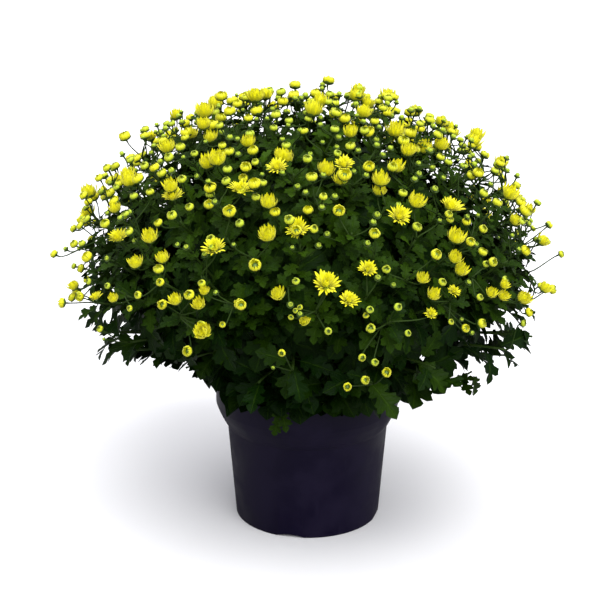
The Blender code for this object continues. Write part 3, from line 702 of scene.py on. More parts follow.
def green_cup_grids(heads, rings, columns=12):
    """The bracts round each head's foot: rings round its axis, the last one wavy from point to point."""
    profile = np.repeat(np.array(rings[:-1])[:, :, None], columns, axis=2)
    profile[-1] = np.where(np.arange(columns) % 2, np.array(rings[-1])[:, None], profile[-1])
    return rings_round(heads, profile[:, 0], profile[:, 1])


def middle_grids(heads, middle, columns=9):
    """The small dome inside each head's petals: a quarter ellipse turned round the head's axis."""
    radius, edge, top = middle
    angle = np.radians((0, 35, 68))
    profile = np.stack([radius * np.cos(angle), edge + (top - edge) * np.sin(angle)])
    return rings_round(heads, *np.repeat(profile[:, :, None], columns, axis=2))


def rings_round(heads, radius, height):
    """Rings round each head's axis with the given radius and height at each ring and column."""
    columns = radius.shape[1]
    angle = heads["spin"][:, None] + math.tau * np.arange(columns)[None, :] / columns
    local = ways_round(heads, angle)[0][:, None, :, :] * radius[None, :, :, None]
    local = local + heads["axis"][:, None, None, :] * height[None, :, :, None]
    return heads["foot"][:, None, None, :] + local * heads["radius"][:, None, None, None]


def skin(grid, finish, tone, wrap=False, caps=(False, False)):
    """The faces and the point values of grids (n, rows, columns, 3).

    A wrapped grid closes round on itself. A cap closes the first or last ring with a fan to its middle.
    """
    n, rows, columns = grid.shape[:3]
    index = np.arange(n * rows * columns).reshape(n, rows, columns)
    left, right = (index, np.roll(index, -1, axis=2)) if wrap else (index[:, :, :-1], index[:, :, 1:])
    quads = np.stack([left[:, :-1], right[:, :-1], right[:, 1:], left[:, 1:]], -1).reshape(-1, 4)
    along = np.broadcast_to(np.linspace(0, 1, rows)[None, :, None], index.shape)
    across = np.broadcast_to(np.linspace(-1, 1, columns)[None, None, :], index.shape)
    tones = np.broadcast_to(np.asarray(tone, float).reshape(-1, 1, 1), index.shape)
    points = [grid.reshape(-1, 3)]
    values = [np.stack([along, across, tones], -1).reshape(-1, 3)]
    triangles = [np.zeros((0, 3), int)]
    size = index.size
    for row, wanted in zip((0, rows - 1), caps):
        if not wanted:
            continue
        middle = size + np.arange(n)[:, None]
        a, b = left[:, row], right[:, row]
        middles = np.broadcast_to(middle, a.shape)
        fan = (a, middles, b) if row == 0 else (a, b, middles)
        triangles.append(np.stack(fan, -1).reshape(-1, 3))
        points.append(grid[:, row].mean(axis=1))
        values.append(np.stack([along[:, row, 0], 0 * along[:, row, 0], tones[:, row, 0]], -1))
        size += n
    return {
        "points": np.concatenate(points),
        "values": np.concatenate(values),
        "quads": quads,
        "triangles": np.concatenate(triangles),
        "finish": finish,
    }

def tube_skin(paths, radii, sides, finish, tone, ridge=0.0):
    """The skin of closed tubes round paths."""
    return skin(tubes(paths, radii, sides, ridge), finish, tone, True, (True, True))


def add_object(name, data):
    """A new object in the scene."""
    made = bpy.data.objects.new(name, data)
    bpy.context.scene.collection.objects.link(made)
    return made


def make_piece(name, skins, finishes, nodes):
    """One mesh object from several skins, which rides on the root and stands for the CAD nodes."""
    offsets = np.cumsum([0] + [len(s["points"]) for s in skins[:-1]])
    kinds = ("quads", "triangles")
    quads, triangles = (np.concatenate([s[key] + o for s, o in zip(skins, offsets)]) for key in kinds)
    finish = np.concatenate([np.full(len(s[key]), s["finish"]) for key in kinds for s in skins])
    points, values = (np.concatenate([s[key] for s in skins]) for key in ("points", "values"))
    corners = np.concatenate([quads.ravel(), triangles.ravel()])
    sizes = np.repeat((4, 3), (len(quads), len(triangles)))
    mesh = bpy.data.meshes.new(name)
    mesh.vertices.add(len(points))
    mesh.vertices.foreach_set("co", points.astype(np.float32).ravel())
    mesh.loops.add(len(corners))
    mesh.loops.foreach_set("vertex_index", corners.astype(np.int32))
    mesh.polygons.add(len(sizes))
    mesh.polygons.foreach_set("loop_start", (np.cumsum(sizes) - sizes).astype(np.int32))
    for material in finishes:
        mesh.materials.append(material)
    mesh.polygons.foreach_set("material_index", finish.astype(np.int32))
    mesh.update(calc_edges=True)
    for column, label in enumerate(("along", "across", "tone")):
        layer = mesh.attributes.new(label, "FLOAT", "POINT")
        layer.data.foreach_set("value", values[:, column].astype(np.float32))
    mesh.shade_smooth()
    piece = add_object(name, mesh)
    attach(piece, "root")
    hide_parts(*nodes)
    return piece


def new_finish(name):
    """A material with its node tree and its Principled shader."""
    made = bpy.data.materials.new(name)
    made.use_nodes = True
    return made, made.node_tree, made.node_tree.nodes["Principled BSDF"]


def put(tree, socket, given):
    """Links or sets a socket."""
    if isinstance(given, bpy.types.NodeSocket):
        tree.links.new(given, socket)
    elif hasattr(given, "__len__"):
        socket.default_value = (*given, 1)[: len(socket.default_value)]
    else:
        socket.default_value = given


def values_of(tree, *names):
    """Point values of the mesh, by their names."""
    nodes = [tree.nodes.new("ShaderNodeAttribute") for _ in names]
    for node, name in zip(nodes, names):
        node.attribute_name = name
    return [node.outputs["Fac"] for node in nodes]


def own_place(tree):
    """The place in the object's own coordinates."""
    return tree.nodes.new("ShaderNodeTexCoord").outputs["Object"]


def is_seen(tree):
    """Whether the camera itself sees a surface."""
    return tree.nodes.new("ShaderNodeLightPath").outputs["Is Camera Ray"]


def blend_colours(tree, factor, low, high):
    """A colour between two, by a factor, through the colour sockets of a Mix node."""
    node = tree.nodes.new("ShaderNodeMix")
    node.data_type = "RGBA"
    for number, given in ((0, factor), (6, low), (7, high)):
        put(tree, node.inputs[number], given)
    return node.outputs[2]


def tint(tree, base, colour, mask, strength):
    """A colour over another where a mask is, at a strength."""
    return blend_colours(tree, calc(tree, "MULTIPLY", mask, strength), base, colour)


def shade(colour, factor, more=0.0):
    """A colour times a factor, made lighter by some more and no lighter than 1."""
    return tuple(min(1.0, factor * c + more) for c in colour)


def steps(tree, factor, low, high):
    """A smooth step of a value between two levels, from 0 to 1."""
    node = tree.nodes.new("ShaderNodeMapRange")
    node.interpolation_type = "SMOOTHSTEP"
    put(tree, node.inputs["Value"], factor)
    node.inputs["From Min"].default_value = low
    node.inputs["From Max"].default_value = high
    return node.outputs["Result"]


def span(tree, factor, low, high):
    """A value from 0 to 1 carried to a range."""
    node = tree.nodes.new("ShaderNodeMapRange")
    put(tree, node.inputs["Value"], factor)
    node.inputs["To Min"].default_value = low
    node.inputs["To Max"].default_value = high
    return node.outputs["Result"]


def calc(tree, operation, a, b=0.0):
    """One step of arithmetic."""
    node = tree.nodes.new("ShaderNodeMath")
    node.operation = operation
    put(tree, node.inputs[0], a)
    put(tree, node.inputs[1], b)
    return node.outputs[0]


def opposite(tree, mask):
    """One less a mask."""
    return calc(tree, "SUBTRACT", 1.0, mask)


def ripples(tree, value, count):
    """Waves along a value: the size of the sine of the value times their count."""
    return calc(tree, "ABSOLUTE", calc(tree, "SINE", calc(tree, "MULTIPLY", value, count)))


def noise(tree, place, scale, detail):
    """Soft noise at a place."""
    node = tree.nodes.new("ShaderNodeTexNoise")
    for label, given in (("Vector", place), ("Scale", scale), ("Detail", detail)):
        put(tree, node.inputs[label], given)
    return node.outputs["Fac"]


def mottle_group():
    """A node group of soft uneven patches: masks of broad patches and of fine grain, and a height."""
    found = bpy.data.node_groups.get("mottle")
    if found:
        return found
    group = bpy.data.node_groups.new("mottle", "ShaderNodeTree")
    labels = {"INPUT": ("Patch Scale", "Grain Scale"), "OUTPUT": ("Patches", "Grain", "Height")}
    for way, names in labels.items():
        for label in names:
            group.interface.new_socket(label, in_out=way, socket_type="NodeSocketFloat")
    enter = group.nodes.new("NodeGroupInput")
    leave = group.nodes.new("NodeGroupOutput")
    place = own_place(group)
    patches = noise(group, place, enter.outputs["Patch Scale"], 3.0)
    grain = noise(group, place, enter.outputs["Grain Scale"], 2.0)
    height = calc(group, "ADD", calc(group, "MULTIPLY", patches, 0.5), grain)
    for label, made in zip(labels["OUTPUT"], (steps(group, patches, 0.36, 0.66), grain, height)):
        group.links.new(made, leave.inputs[label])
    return group


def mottle(tree, patch_scale, grain_scale):
    """The mottle group placed in a material."""
    node = tree.nodes.new("ShaderNodeGroup")
    node.node_tree = mottle_group()
    node.inputs["Patch Scale"].default_value = patch_scale
    node.inputs["Grain Scale"].default_value = grain_scale
    return node.outputs


def dress(tree, shader, colour, roughness, specular, relief):
    """Gives a shader its colour, roughness, specular level and relief: height, strength and distance."""
    put(tree, shader.inputs["Base Color"], colour)
    put(tree, shader.inputs["Roughness"], roughness)
    shader.inputs["Specular IOR Level"].default_value = specular
    bump = tree.nodes.new("ShaderNodeBump")
    for label, given in zip(("Height", "Strength", "Distance"), relief):
        put(tree, bump.inputs[label], given)
    tree.links.new(bump.outputs["Normal"], shader.inputs["Normal"])


def leaf_finish(settings):
    """Leaf blades: from old dark to young light green by each leaf's tone, which also carries painted
    light on top and painted shade low down and inside the crown, with faint paler veins, and paler
    below.
    """
    made, tree, shader = new_finish("leaf blade")
    along, across, tone = values_of(tree, "along", "across", "tone")
    uneven = mottle(tree, 55, 700)
    # The tone mixes age and chance with painted light and shade
    base = blend_colours(tree, tone, settings.old, settings.young)
    base = tint(tree, base, shade(settings.old, 0.62), uneven["Patches"], 0.45)
    aside = calc(tree, "ABSOLUTE", across)
    rib = opposite(tree, steps(tree, aside, 0.03, 0.14))
    slant = calc(tree, "SUBTRACT", along, calc(tree, "MULTIPLY", aside, 0.16))
    veins = opposite(tree, steps(tree, ripples(tree, slant, 26.0), 0.04, 0.30))
    lines = calc(tree, "MAXIMUM", rib, calc(tree, "MULTIPLY", veins, 0.5))
    face = tint(tree, base, shade(settings.young, 1.7, 0.002), lines, 0.13)
    back = tree.nodes.new("ShaderNodeNewGeometry").outputs["Backfacing"]
    face = tint(tree, face, shade(settings.young, 0.6, 0.009), back, 0.6)
    rough = span(tree, uneven["Grain"], 0.34, 0.62)
    height = calc(tree, "SUBTRACT", uneven["Height"], calc(tree, "MULTIPLY", lines, 1.4))
    dress(tree, shader, face, rough, 0.07, (height, 0.55, 0.0009))
    return made


def stalk_finish(settings):
    """Stems and stalks: fresh green, browner on the stems, and lighter towards their tips."""
    made, tree, shader = new_finish("stalk")
    along, tone = values_of(tree, "along", "tone")
    uneven = mottle(tree, 120, 1500)
    base = blend_colours(tree, tone, (0.030, 0.024, 0.010), settings.stalk)
    base = tint(tree, base, shade(settings.stalk, 0.5, 0.003), uneven["Patches"], 0.5)
    base = tint(tree, base, shade(settings.stalk, 1.35), along, 0.35)
    rough = span(tree, uneven["Grain"], 0.45, 0.7)
    dress(tree, shader, base, rough, 0.15, (uneven["Height"], 0.3, 0.0004))
    return made


def petal_finish(settings):
    """Petals: green-yellow in a tight bud and clear yellow when open, darker where they curl in, with
    painted shade along their side edges where they meet.
    """
    made, tree, shader = new_finish("petal")
    along, across, tone = values_of(tree, "along", "across", "tone")
    uneven = mottle(tree, 260, 2600)
    base = blend_colours(tree, steps(tree, tone, 0.05, 0.75), settings.bud_colour, settings.open_colour)
    closed = opposite(tree, steps(tree, tone, 0.35, 1.0))
    inner = calc(tree, "MULTIPLY", steps(tree, along, 0.72, 1.0), closed)
    base = tint(tree, base, shade(settings.bud_colour, 0.42), inner, 0.85)
    foot = opposite(tree, steps(tree, along, 0.0, 0.3))
    base = tint(tree, base, settings.bud_colour, foot, 0.5)
    # Painted shade: a darker, more orange yellow along the petals' side edges, where they meet and
    # overlap
    painted_edge_shade = steps(tree, calc(tree, "ABSOLUTE", across), 0.55, 1.0)
    painted_shade_yellow = tuple(c * f for c, f in zip(settings.open_colour, (0.70, 0.62, 1.0)))
    base = tint(tree, base, painted_shade_yellow, painted_edge_shade, 0.35)
    rough = span(tree, uneven["Grain"], 0.42, 0.66)
    height = calc(tree, "ADD", uneven["Grain"], ripples(tree, across, 6.0))
    shader.inputs["Sheen Weight"].default_value = 0.15
    dress(tree, shader, base, rough, 0.5, (height, 0.35, 0.0003))
    return made


def green_cup_finish(settings):
    """The bracts under the petals: mid green with paler tips."""
    made, tree, shader = new_finish("bract")
    uneven = mottle(tree, 200, 2200)
    tips = steps(tree, *values_of(tree, "along"), 0.6, 1.0)
    base = blend_colours(tree, tips, settings.cup_colour, shade(settings.cup_colour, 1.9, 0.02))
    base = tint(tree, base, shade(settings.cup_colour, 0.5), uneven["Patches"], 0.5)
    rough = span(tree, uneven["Grain"], 0.45, 0.7)
    dress(tree, shader, base, rough, 0.5, (uneven["Height"], 0.3, 0.0003))
    return made


def plastic_finish(settings):
    """Moulded pot plastic: near black with a violet cast, satin, with faint runs and patches of dust."""
    made, tree, shader = new_finish("pot plastic")
    uneven = mottle(tree, 26, 1400)
    streak = tree.nodes.new("ShaderNodeMapping")
    streak.inputs["Scale"].default_value = (60, 60, 5)
    put(tree, streak.inputs["Vector"], own_place(tree))
    runs = steps(tree, noise(tree, streak.outputs["Vector"], 1.6, 4), 0.52, 0.80)
    dusty = calc(tree, "MULTIPLY", calc(tree, "MAXIMUM", runs, uneven["Patches"]), 0.30)
    base = blend_colours(tree, dusty, settings.colour, settings.dust)
    rough = calc(tree, "ADD", settings.roughness, calc(tree, "MULTIPLY", dusty, 0.7))
    dress(tree, shader, base, rough, 0.16, (uneven["Grain"], 0.16, 0.0003))
    return made


def mix_finish(settings):
    """Damp potting mix: dark brown peat with lighter patches and pale grains."""
    made, tree, shader = new_finish("damp potting mix")
    uneven = mottle(tree, 160, 900)
    cells = tree.nodes.new("ShaderNodeTexVoronoi")
    cells.inputs["Scale"].default_value = 260
    put(tree, cells.inputs["Vector"], own_place(tree))
    grains = opposite(tree, steps(tree, cells.outputs["Distance"], 0.10, 0.20))
    fibres = shade(settings.mix_colour, 2.6, 0.01)
    base = blend_colours(tree, uneven["Patches"], settings.mix_colour, fibres)
    base = tint(tree, base, (0.40, 0.36, 0.30), grains, 0.5)
    dress(tree, shader, base, 0.9, 0.5, (uneven["Height"], 1.0, 0.002))
    return made


def turned_grid(profile, columns):
    """A profile of (radius, height) turned round Z, as one wrapped grid with its rings."""
    reach, height = np.array(profile).T[:, :, None]
    angle = np.linspace(0, math.tau, columns, endpoint=False)
    return np.stack(np.broadcast_arrays(reach * np.cos(angle), reach * np.sin(angle), height), -1)[None]


def plain_object(name, grid, caps=(True, True)):
    """An object from one wrapped grid, closed at the ends that are wanted."""
    part = skin(grid, 0, 0.0, True, caps)
    mesh = bpy.data.meshes.new(name)
    mesh.from_pydata(part["points"].tolist(), [], part["quads"].tolist() + part["triangles"].tolist())
    return add_object(name, mesh)


def cutters(centres, axes, radius, ends, columns):
    """Cylinders to cut with, each between two distances along its axis."""
    places = zip(*np.broadcast_arrays(centres, axes))
    paths = [centre + axis * np.array(ends)[None, :, None] for centre, axis in places]
    return [plain_object("cutter", tubes(path, radius, columns)) for path in paths]


def notch_cutters():
    """The shallow arches in the foot of the wall: each is the top of a large lying cylinder."""
    radius = ((NOTCH_WIDTH / 2) ** 2 + NOTCH_HEIGHT**2) / (2 * NOTCH_HEIGHT)
    out = heading(NOTCH_TURN + math.tau * np.arange(NOTCH_COUNT) / NOTCH_COUNT)
    ends = (BASE_RADIUS - 5 * CUT_MARGIN, BASE_RADIUS + 2 * CUT_MARGIN)
    return cutters(UP * (NOTCH_HEIGHT - radius), out, radius, ends, POT_COLUMNS)


def drain_cutters():
    """The drain holes through the base."""
    out = heading(math.tau * (np.arange(DRAIN_COUNT) + 0.5) / DRAIN_COUNT)
    return cutters(out * DRAIN_CIRCLE, UP, DRAIN_RADIUS, (-CUT_MARGIN, FLOOR + CUT_MARGIN), 28)


def cut(piece, tools):
    """Cuts the tools out of the piece for good, and removes them."""
    for tool in tools:
        modifier = piece.modifiers.new("cut", "BOOLEAN")
        modifier.operation, modifier.solver, modifier.object = "DIFFERENCE", "EXACT", tool
    graph = bpy.context.evaluated_depsgraph_get()
    result = bpy.data.meshes.new_from_object(piece.evaluated_get(graph))
    piece.modifiers.clear()
    piece.data = result
    for tool in tools:
        bpy.data.objects.remove(tool)


def rounded(corners, radius):
    """A profile with its sharp corners turned into short arcs: quadratic curves near each corner."""
    corners = np.array(corners, float)
    points = [corners[0]]
    t = np.linspace(0, 1, 4)[:, None]
    for a, b, c in zip(corners, corners[1:], corners[2:]):
        back, on = a - b, c - b
        size = min(radius, 0.45 * np.linalg.norm(back), 0.45 * np.linalg.norm(on))
        p, q = b + unit(back) * size, b + unit(on) * size
        points += list(p * (1 - t) ** 2 + 2 * b * t * (1 - t) + q * t**2)
    points.append(corners[-1])
    return np.array(points)


class CHRYSANTHEMUM_OT_studio(bpy.types.Operator):
    """Makes the floor, the lights and the camera"""

    bl_idname = "chrysanthemum.studio"
    bl_label = "Studio"

    def execute(self, context):
        settings = context.scene.chrysanthemum_studio
        finish, tree, shader = new_finish("studio floor")
        dim = shade(settings.floor_colour, settings.bounce)
        seen = blend_colours(tree, is_seen(tree), dim, settings.floor_colour)
        put(tree, shader.inputs["Base Color"], seen)
        shader.inputs["Roughness"].default_value = 0.9
        shader.inputs["Specular IOR Level"].default_value = 0.1
        rings = [(FLOOR_REACH * k / 6, 0) for k in range(6, 0, -1)]
        floor = plain_object("floor", turned_grid(rings, 48), (False, True))
        floor.data.materials.append(finish)
        world = bpy.data.worlds.new("studio")
        world.use_nodes = True
        tree = world.node_tree
        background = tree.nodes["Background"]
        seen = is_seen(tree)
        put(tree, background.inputs["Color"], blend_colours(tree, seen, SKY_COLOUR, (1, 1, 1)))
        put(tree, background.inputs["Strength"], span(tree, seen, settings.ambient, 1.0))
        context.scene.world = world
        context.scene.view_settings.view_transform = "Standard"
        add_light("key light", *KEY_LIGHT, settings.key_power)
        add_light("top light", *TOP_LIGHT, settings.top_power)
        add_camera(context.scene)
        return {"FINISHED"}


def aim(thing, spot, target):
    """Stands a light or camera at a spot, facing a target."""
    thing.location = spot
    away = Vector(target) - Vector(spot)
    thing.rotation_euler = away.to_track_quat("-Z", "Y").to_euler()


def add_light(name, spot, spread, power):
    """An even light from one side, softened over a wide angle."""
    data = bpy.data.lights.new(name, "SUN")
    data.angle, data.energy = math.radians(spread), power
    aim(add_object(name, data), spot, LIT_SPOT)


def add_camera(scene):
    """The camera looks down from in front, nearly two metres away."""
    data = bpy.data.cameras.new("camera")
    data.sensor_width = SENSOR_WIDTH
    data.lens = FOCAL_PIXELS / PICTURE_PIXELS * SENSOR_WIDTH
    scene.camera = add_object("camera", data)
    x, y, z = VIEW_TARGET
    back, rise = VIEW_DISTANCE * math.cos(VIEW_PITCH), VIEW_DISTANCE * math.sin(VIEW_PITCH)
    aim(scene.camera, (x, y - back, z + rise), VIEW_TARGET)


class CHRYSANTHEMUM_OT_pot(bpy.types.Operator):
    """Makes the nursery pot"""

    bl_idname = "chrysanthemum.pot"
    bl_label = "Pot"

    def execute(self, context):
        inside = [(radius - WALL, height) for radius, height in POT_PROFILE[:0:-1]]
        inside.append((BASE_RADIUS - WALL, FLOOR))
        inner, outer = BASE_RINGS
        profile = rounded([(outer, 0), *POT_PROFILE, *inside, (outer, FLOOR)], POT_BEVEL)
        grid = turned_grid([(inner, 0), *profile, (inner, FLOOR)], POT_COLUMNS)
        part = skin(grid, 0, 0.0, True, (True, True))
        finish = plastic_finish(context.scene.chrysanthemum_pot)
        pot = make_piece("nursery_pot", [part], [finish], ["pot"])
        cut(pot, notch_cutters() + drain_cutters())
        pot.data.shade_smooth()
        pot.data.set_sharp_from_angle(angle=SHARP_ANGLE)
        return {"FINISHED"}


class CHRYSANTHEMUM_OT_potting_mix(bpy.types.Operator):
    """Makes the potting mix"""

    bl_idname = "chrysanthemum.potting_mix"
    bl_label = "Potting mix"

    def execute(self, context):
        low, high = FLOOR + SEAT_GAP, SOIL_TOP
        levels = (low, low, 0.012, 0.05, SHOULDER_HEIGHT, SHOULDER_HEIGHT + 0.005, 0.118, high - 0.001)
        side = np.interp(levels, *np.array(POT_PROFILE).T[::-1]) - WALL - 2 * SEAT_GAP
        side[0] = side[1] - 0.02
        top = np.linspace(side[-1] - 0.0004, 0.004, 26)
        reach = np.concatenate([side, top])
        height = np.concatenate([levels, high + SOIL_CROWN * (1 - (top / RIM_RADIUS) ** 2)])
        grid = turned_grid(np.stack([reach, height], -1), MIX_COLUMNS)
        grid = crumble(grid, np.arange(len(reach)) > len(side))
        part = skin(grid, 0, 0.0, True, (True, True))
        finish = mix_finish(context.scene.chrysanthemum_pot)
        make_piece("damp_potting_mix", [part], [finish], ["potting_mix"])
        return {"FINISHED"}


def crumble(grid, rows):
    """Roughens the rows of a grid upwards: a sum of three sine waves of falling length and height."""
    x, y = grid[..., 0], grid[..., 1]
    rough = 0.0008 * np.sin(210 * x + 3 * np.sin(90 * y)) * np.sin(190 * y + 1)
    rough += 0.0005 * np.sin(610 * x + 2) * np.sin(570 * y)
    rough += 0.0003 * np.sin(1300 * x) * np.sin(1210 * y + 3)
    return grid + UP * (rough * rows[None, :, None])[..., None]


def growth(start, away, tips, lead, points, longest=np.inf):
    """Cubic curves from starts to tips: their inner corners lie off the ends by a share of the gap."""
    gap = np.minimum(np.linalg.norm(tips - start, axis=-1, keepdims=True), longest)
    return bezier(np.stack([start, start + away * gap, tips - lead * gap, tips], 1), points)


def shoot_layout(stems, rng):
    """The flowering shoots, spread evenly over the dome.

    A shoot leaves its stem below the crown, and follows a cubic curve that ends near the dome's own
    outward direction.
    """
    polar, turn = dome_spiral(SHOOTS)
    owner = owners(polar, turn, stems)
    polar, turn = polar + 0.05 * (rng.random(SHOOTS) - 0.5), turn + 0.07 * (rng.random(SHOOTS) - 0.5)
    nearest, more = SHOOT_TIPS
    tips = dome_point(polar, turn, nearest + more * rng.random(SHOOTS))
    last = stems["path"].shape[1] - 1
    lowest, more = SHOOT_STARTS
    at = (last * (lowest + more * rng.random(SHOOTS))).astype(int)
    start = stems["path"][owner, at]
    ahead = unit(stems["path"][owner, np.minimum(at + 1, last)] - start)
    lead = unit(dome_out(tips) + (0, 0, 0.35))
    return {"owner": owner, "path": growth(start, 0.35 * ahead, tips, 0.38 * lead, 14), "tip": tips}


def low_shoot_layout(stems, rng):
    """The flowerless shoots that fill the dome's foot: three from each outer stem, low and outward."""
    outer = np.flatnonzero(stems["ring"] == 2)
    owner = np.repeat(outer, 3)
    aside, reach, over, at = np.tile(LOW_SHOOTS, len(outer))
    turn = stems["turn"][owner] + aside + 0.1 * (rng.random(len(owner)) - 0.5)
    reach += 0.02 * rng.random(len(owner)) + 0.03 * np.sin(turn) ** 2
    reach += 0.02 * np.maximum(0, np.sin(turn)) ** 2
    over += 0.012 * rng.random(len(owner))
    over *= 1 - 0.45 * np.sin(turn) ** 2
    out = heading(turn)
    tips = out * reach[:, None]
    tips[:, 2] = hem(tips) + over
    path = growth(stems["path"][owner, at.astype(int)], 0.24 * UP + 0.15 * out, tips, 0.35 * out, 12)
    return {"owner": owner, "path": clear_of_pot(path), "tip": tips}


class CHRYSANTHEMUM_OT_leafy_stems(bpy.types.Operator):
    """Makes the stems with their shoots and leaves"""

    bl_idname = "chrysanthemum.leafy_stems"
    bl_label = "Leafy stems"

    def execute(self, context):
        settings = context.scene.chrysanthemum_foliage
        rng = np.random.default_rng(context.scene.chrysanthemum_studio.seed)
        stems = stem_layout()
        shoots, low = shoot_layout(stems, rng), low_shoot_layout(stems, rng)
        small = [self.outer_leaves(shoots, SHOOT_LEAVES, 0.30, settings, rng)]
        large = [self.outer_leaves(low, LOW_SHOOT_LEAVES, 0.25, settings, rng)]
        large.append(self.stem_leaves(stems, settings, rng))
        small.append(self.inner_leaves(shoots, settings, rng))
        twigs, twig_leaves = self.trailing_twigs(stems)
        large.append(twig_leaves)
        for made in small + large:
            hanging = made["phase"] < HANGING_SHARE
            made.setdefault("allowed", np.where(hanging, HANGING_DROP, 0))
        blades = [self.blades(small, settings.width, 3), self.blades(large, settings.width, 5)]
        finishes = [leaf_finish(settings), stalk_finish(settings)]
        thick = np.linspace(STEM_RADIUS, 0.62 * STEM_RADIUS, stems["path"].shape[1])
        for k in range(len(stems["turn"])):
            parts = [skin(grid[owner == k], 0, tone[owner == k]) for grid, owner, tone in blades]
            parts.append(tube_skin(stems["path"][k : k + 1], thick, 10, 1, 0.35, 0.06))
            for made in (shoots, low, twigs):
                mine = made["path"][made["owner"] == k]
                if len(mine):
                    parts.append(tube_skin(mine, np.linspace(*SHOOT_RADII, mine.shape[1]), 6, 1, 0.8))
            node = f"leafy_stem_{k + 1:02d}"
            make_piece(f"{node}_growth", parts, finishes, [node])
        return {"FINISHED"}

    def blades(self, leaf_sets, width, columns):
        """The blades of several sets of leaves, with the stems that own them and their tones."""
        leaves = {
            key: np.concatenate([s[key].reshape(-1, *s[key].shape[2:]) for s in leaf_sets])
            for key in leaf_sets[0]
        }
        return leaf_grids(leaves, width, columns), leaves["owner"], leaves["tone"]

    def outer_leaves(self, shoots, count, start, settings, rng):
        """Leaves up the outer part of each shoot, larger and turned to the light where it is low."""
        depth = np.clip((LOW_LEAF_HEIGHT - shoots["tip"][:, 2]) / LOW_LEAF_DEPTH, 0, 1)
        length = settings.top_leaf + (settings.low_leaf - settings.top_leaf) * depth
        light = UP * (0.35 + 0.6 * depth)[:, None]
        draw = rng.random((len(length), count, 8))
        return shoot_leaves(shoots["path"], shoots["owner"], length, start, draw, light)

    def inner_leaves(self, shoots, settings, rng):
        """Leaves low on the shoots, which lie along the dome and close the crown from inside, with dark
        tones that are painted shade.
        """
        n = len(shoots["owner"])
        draw = rng.random((n, INNER_LEAVES, 8))
        length, light = np.full(n, settings.low_leaf), np.zeros((n, 3))
        leaves = shoot_leaves(shoots["path"][:, 2:11], shoots["owner"], length, 0.1, draw, light)
        out = dome_out(leaves["root"])
        leaves["forward"] = round_axis(out, side_of(out), ANY_TURN * draw[:, :, 1])[0] + 0.15 * out
        leaves["up"] = out
        # Painted shade: the inner leaves get the darkest tones
        leaves["tone"] = 0.12 * draw[:, :, 4]
        return leaves

    def stem_leaves(self, stems, settings, rng):
        """Large leaves low on the stems, which hang out over the pot's rim."""
        n = len(stems["turn"])
        length = settings.low_leaf * np.where(stems["ring"] == 2, 1.12, 0.95)
        draw = rng.random((n, STEM_LEAVES, 8))
        light = np.tile(1.4 * UP, (n, 1))
        leaves = shoot_leaves(stems["path"][:, 2:12], np.arange(n), length, 0.05, draw, light)
        turn = stems["turn"][:, None] + 1.5 * (draw[:, :, 1] - 0.5)
        leaves["forward"] = heading(turn, np.radians(5 + 25 * draw[:, :, 2]))
        leaves["up"] = UP + 0 * leaves["forward"]
        return leaves

    def trailing_twigs(self, stems):
        """Thin twigs that hang out over the rim, with small leaves."""
        columns = (np.array([twig[key] for twig in TWIGS]) for key in TWIGS[0])
        owner, corners, at, turn, dip, length = columns
        start = stems["path"][owner, 2]
        path = bezier(np.concatenate([start[:, None], corners], axis=1), 12)
        forward = heading(np.radians(turn), np.radians(dip))
        flat = np.ones(at.shape)
        leaves = {
            "root": path[np.arange(len(owner))[:, None], at],
            "forward": forward,
            "up": unit(np.array((0.1, -0.5, 1.0)) + 0 * forward),
            "length": length,
            "tone": 0.35 * flat,
            "droop": 0.6 * flat,
            "fold": 0.25 * flat,
            "phase": np.linspace(0.2, 0.9, at.size).reshape(at.shape),
            "owner": np.repeat(owner[:, None], at.shape[1], axis=1),
            "allowed": 0.05 * flat,
        }
        return {"owner": owner, "path": path}, leaves


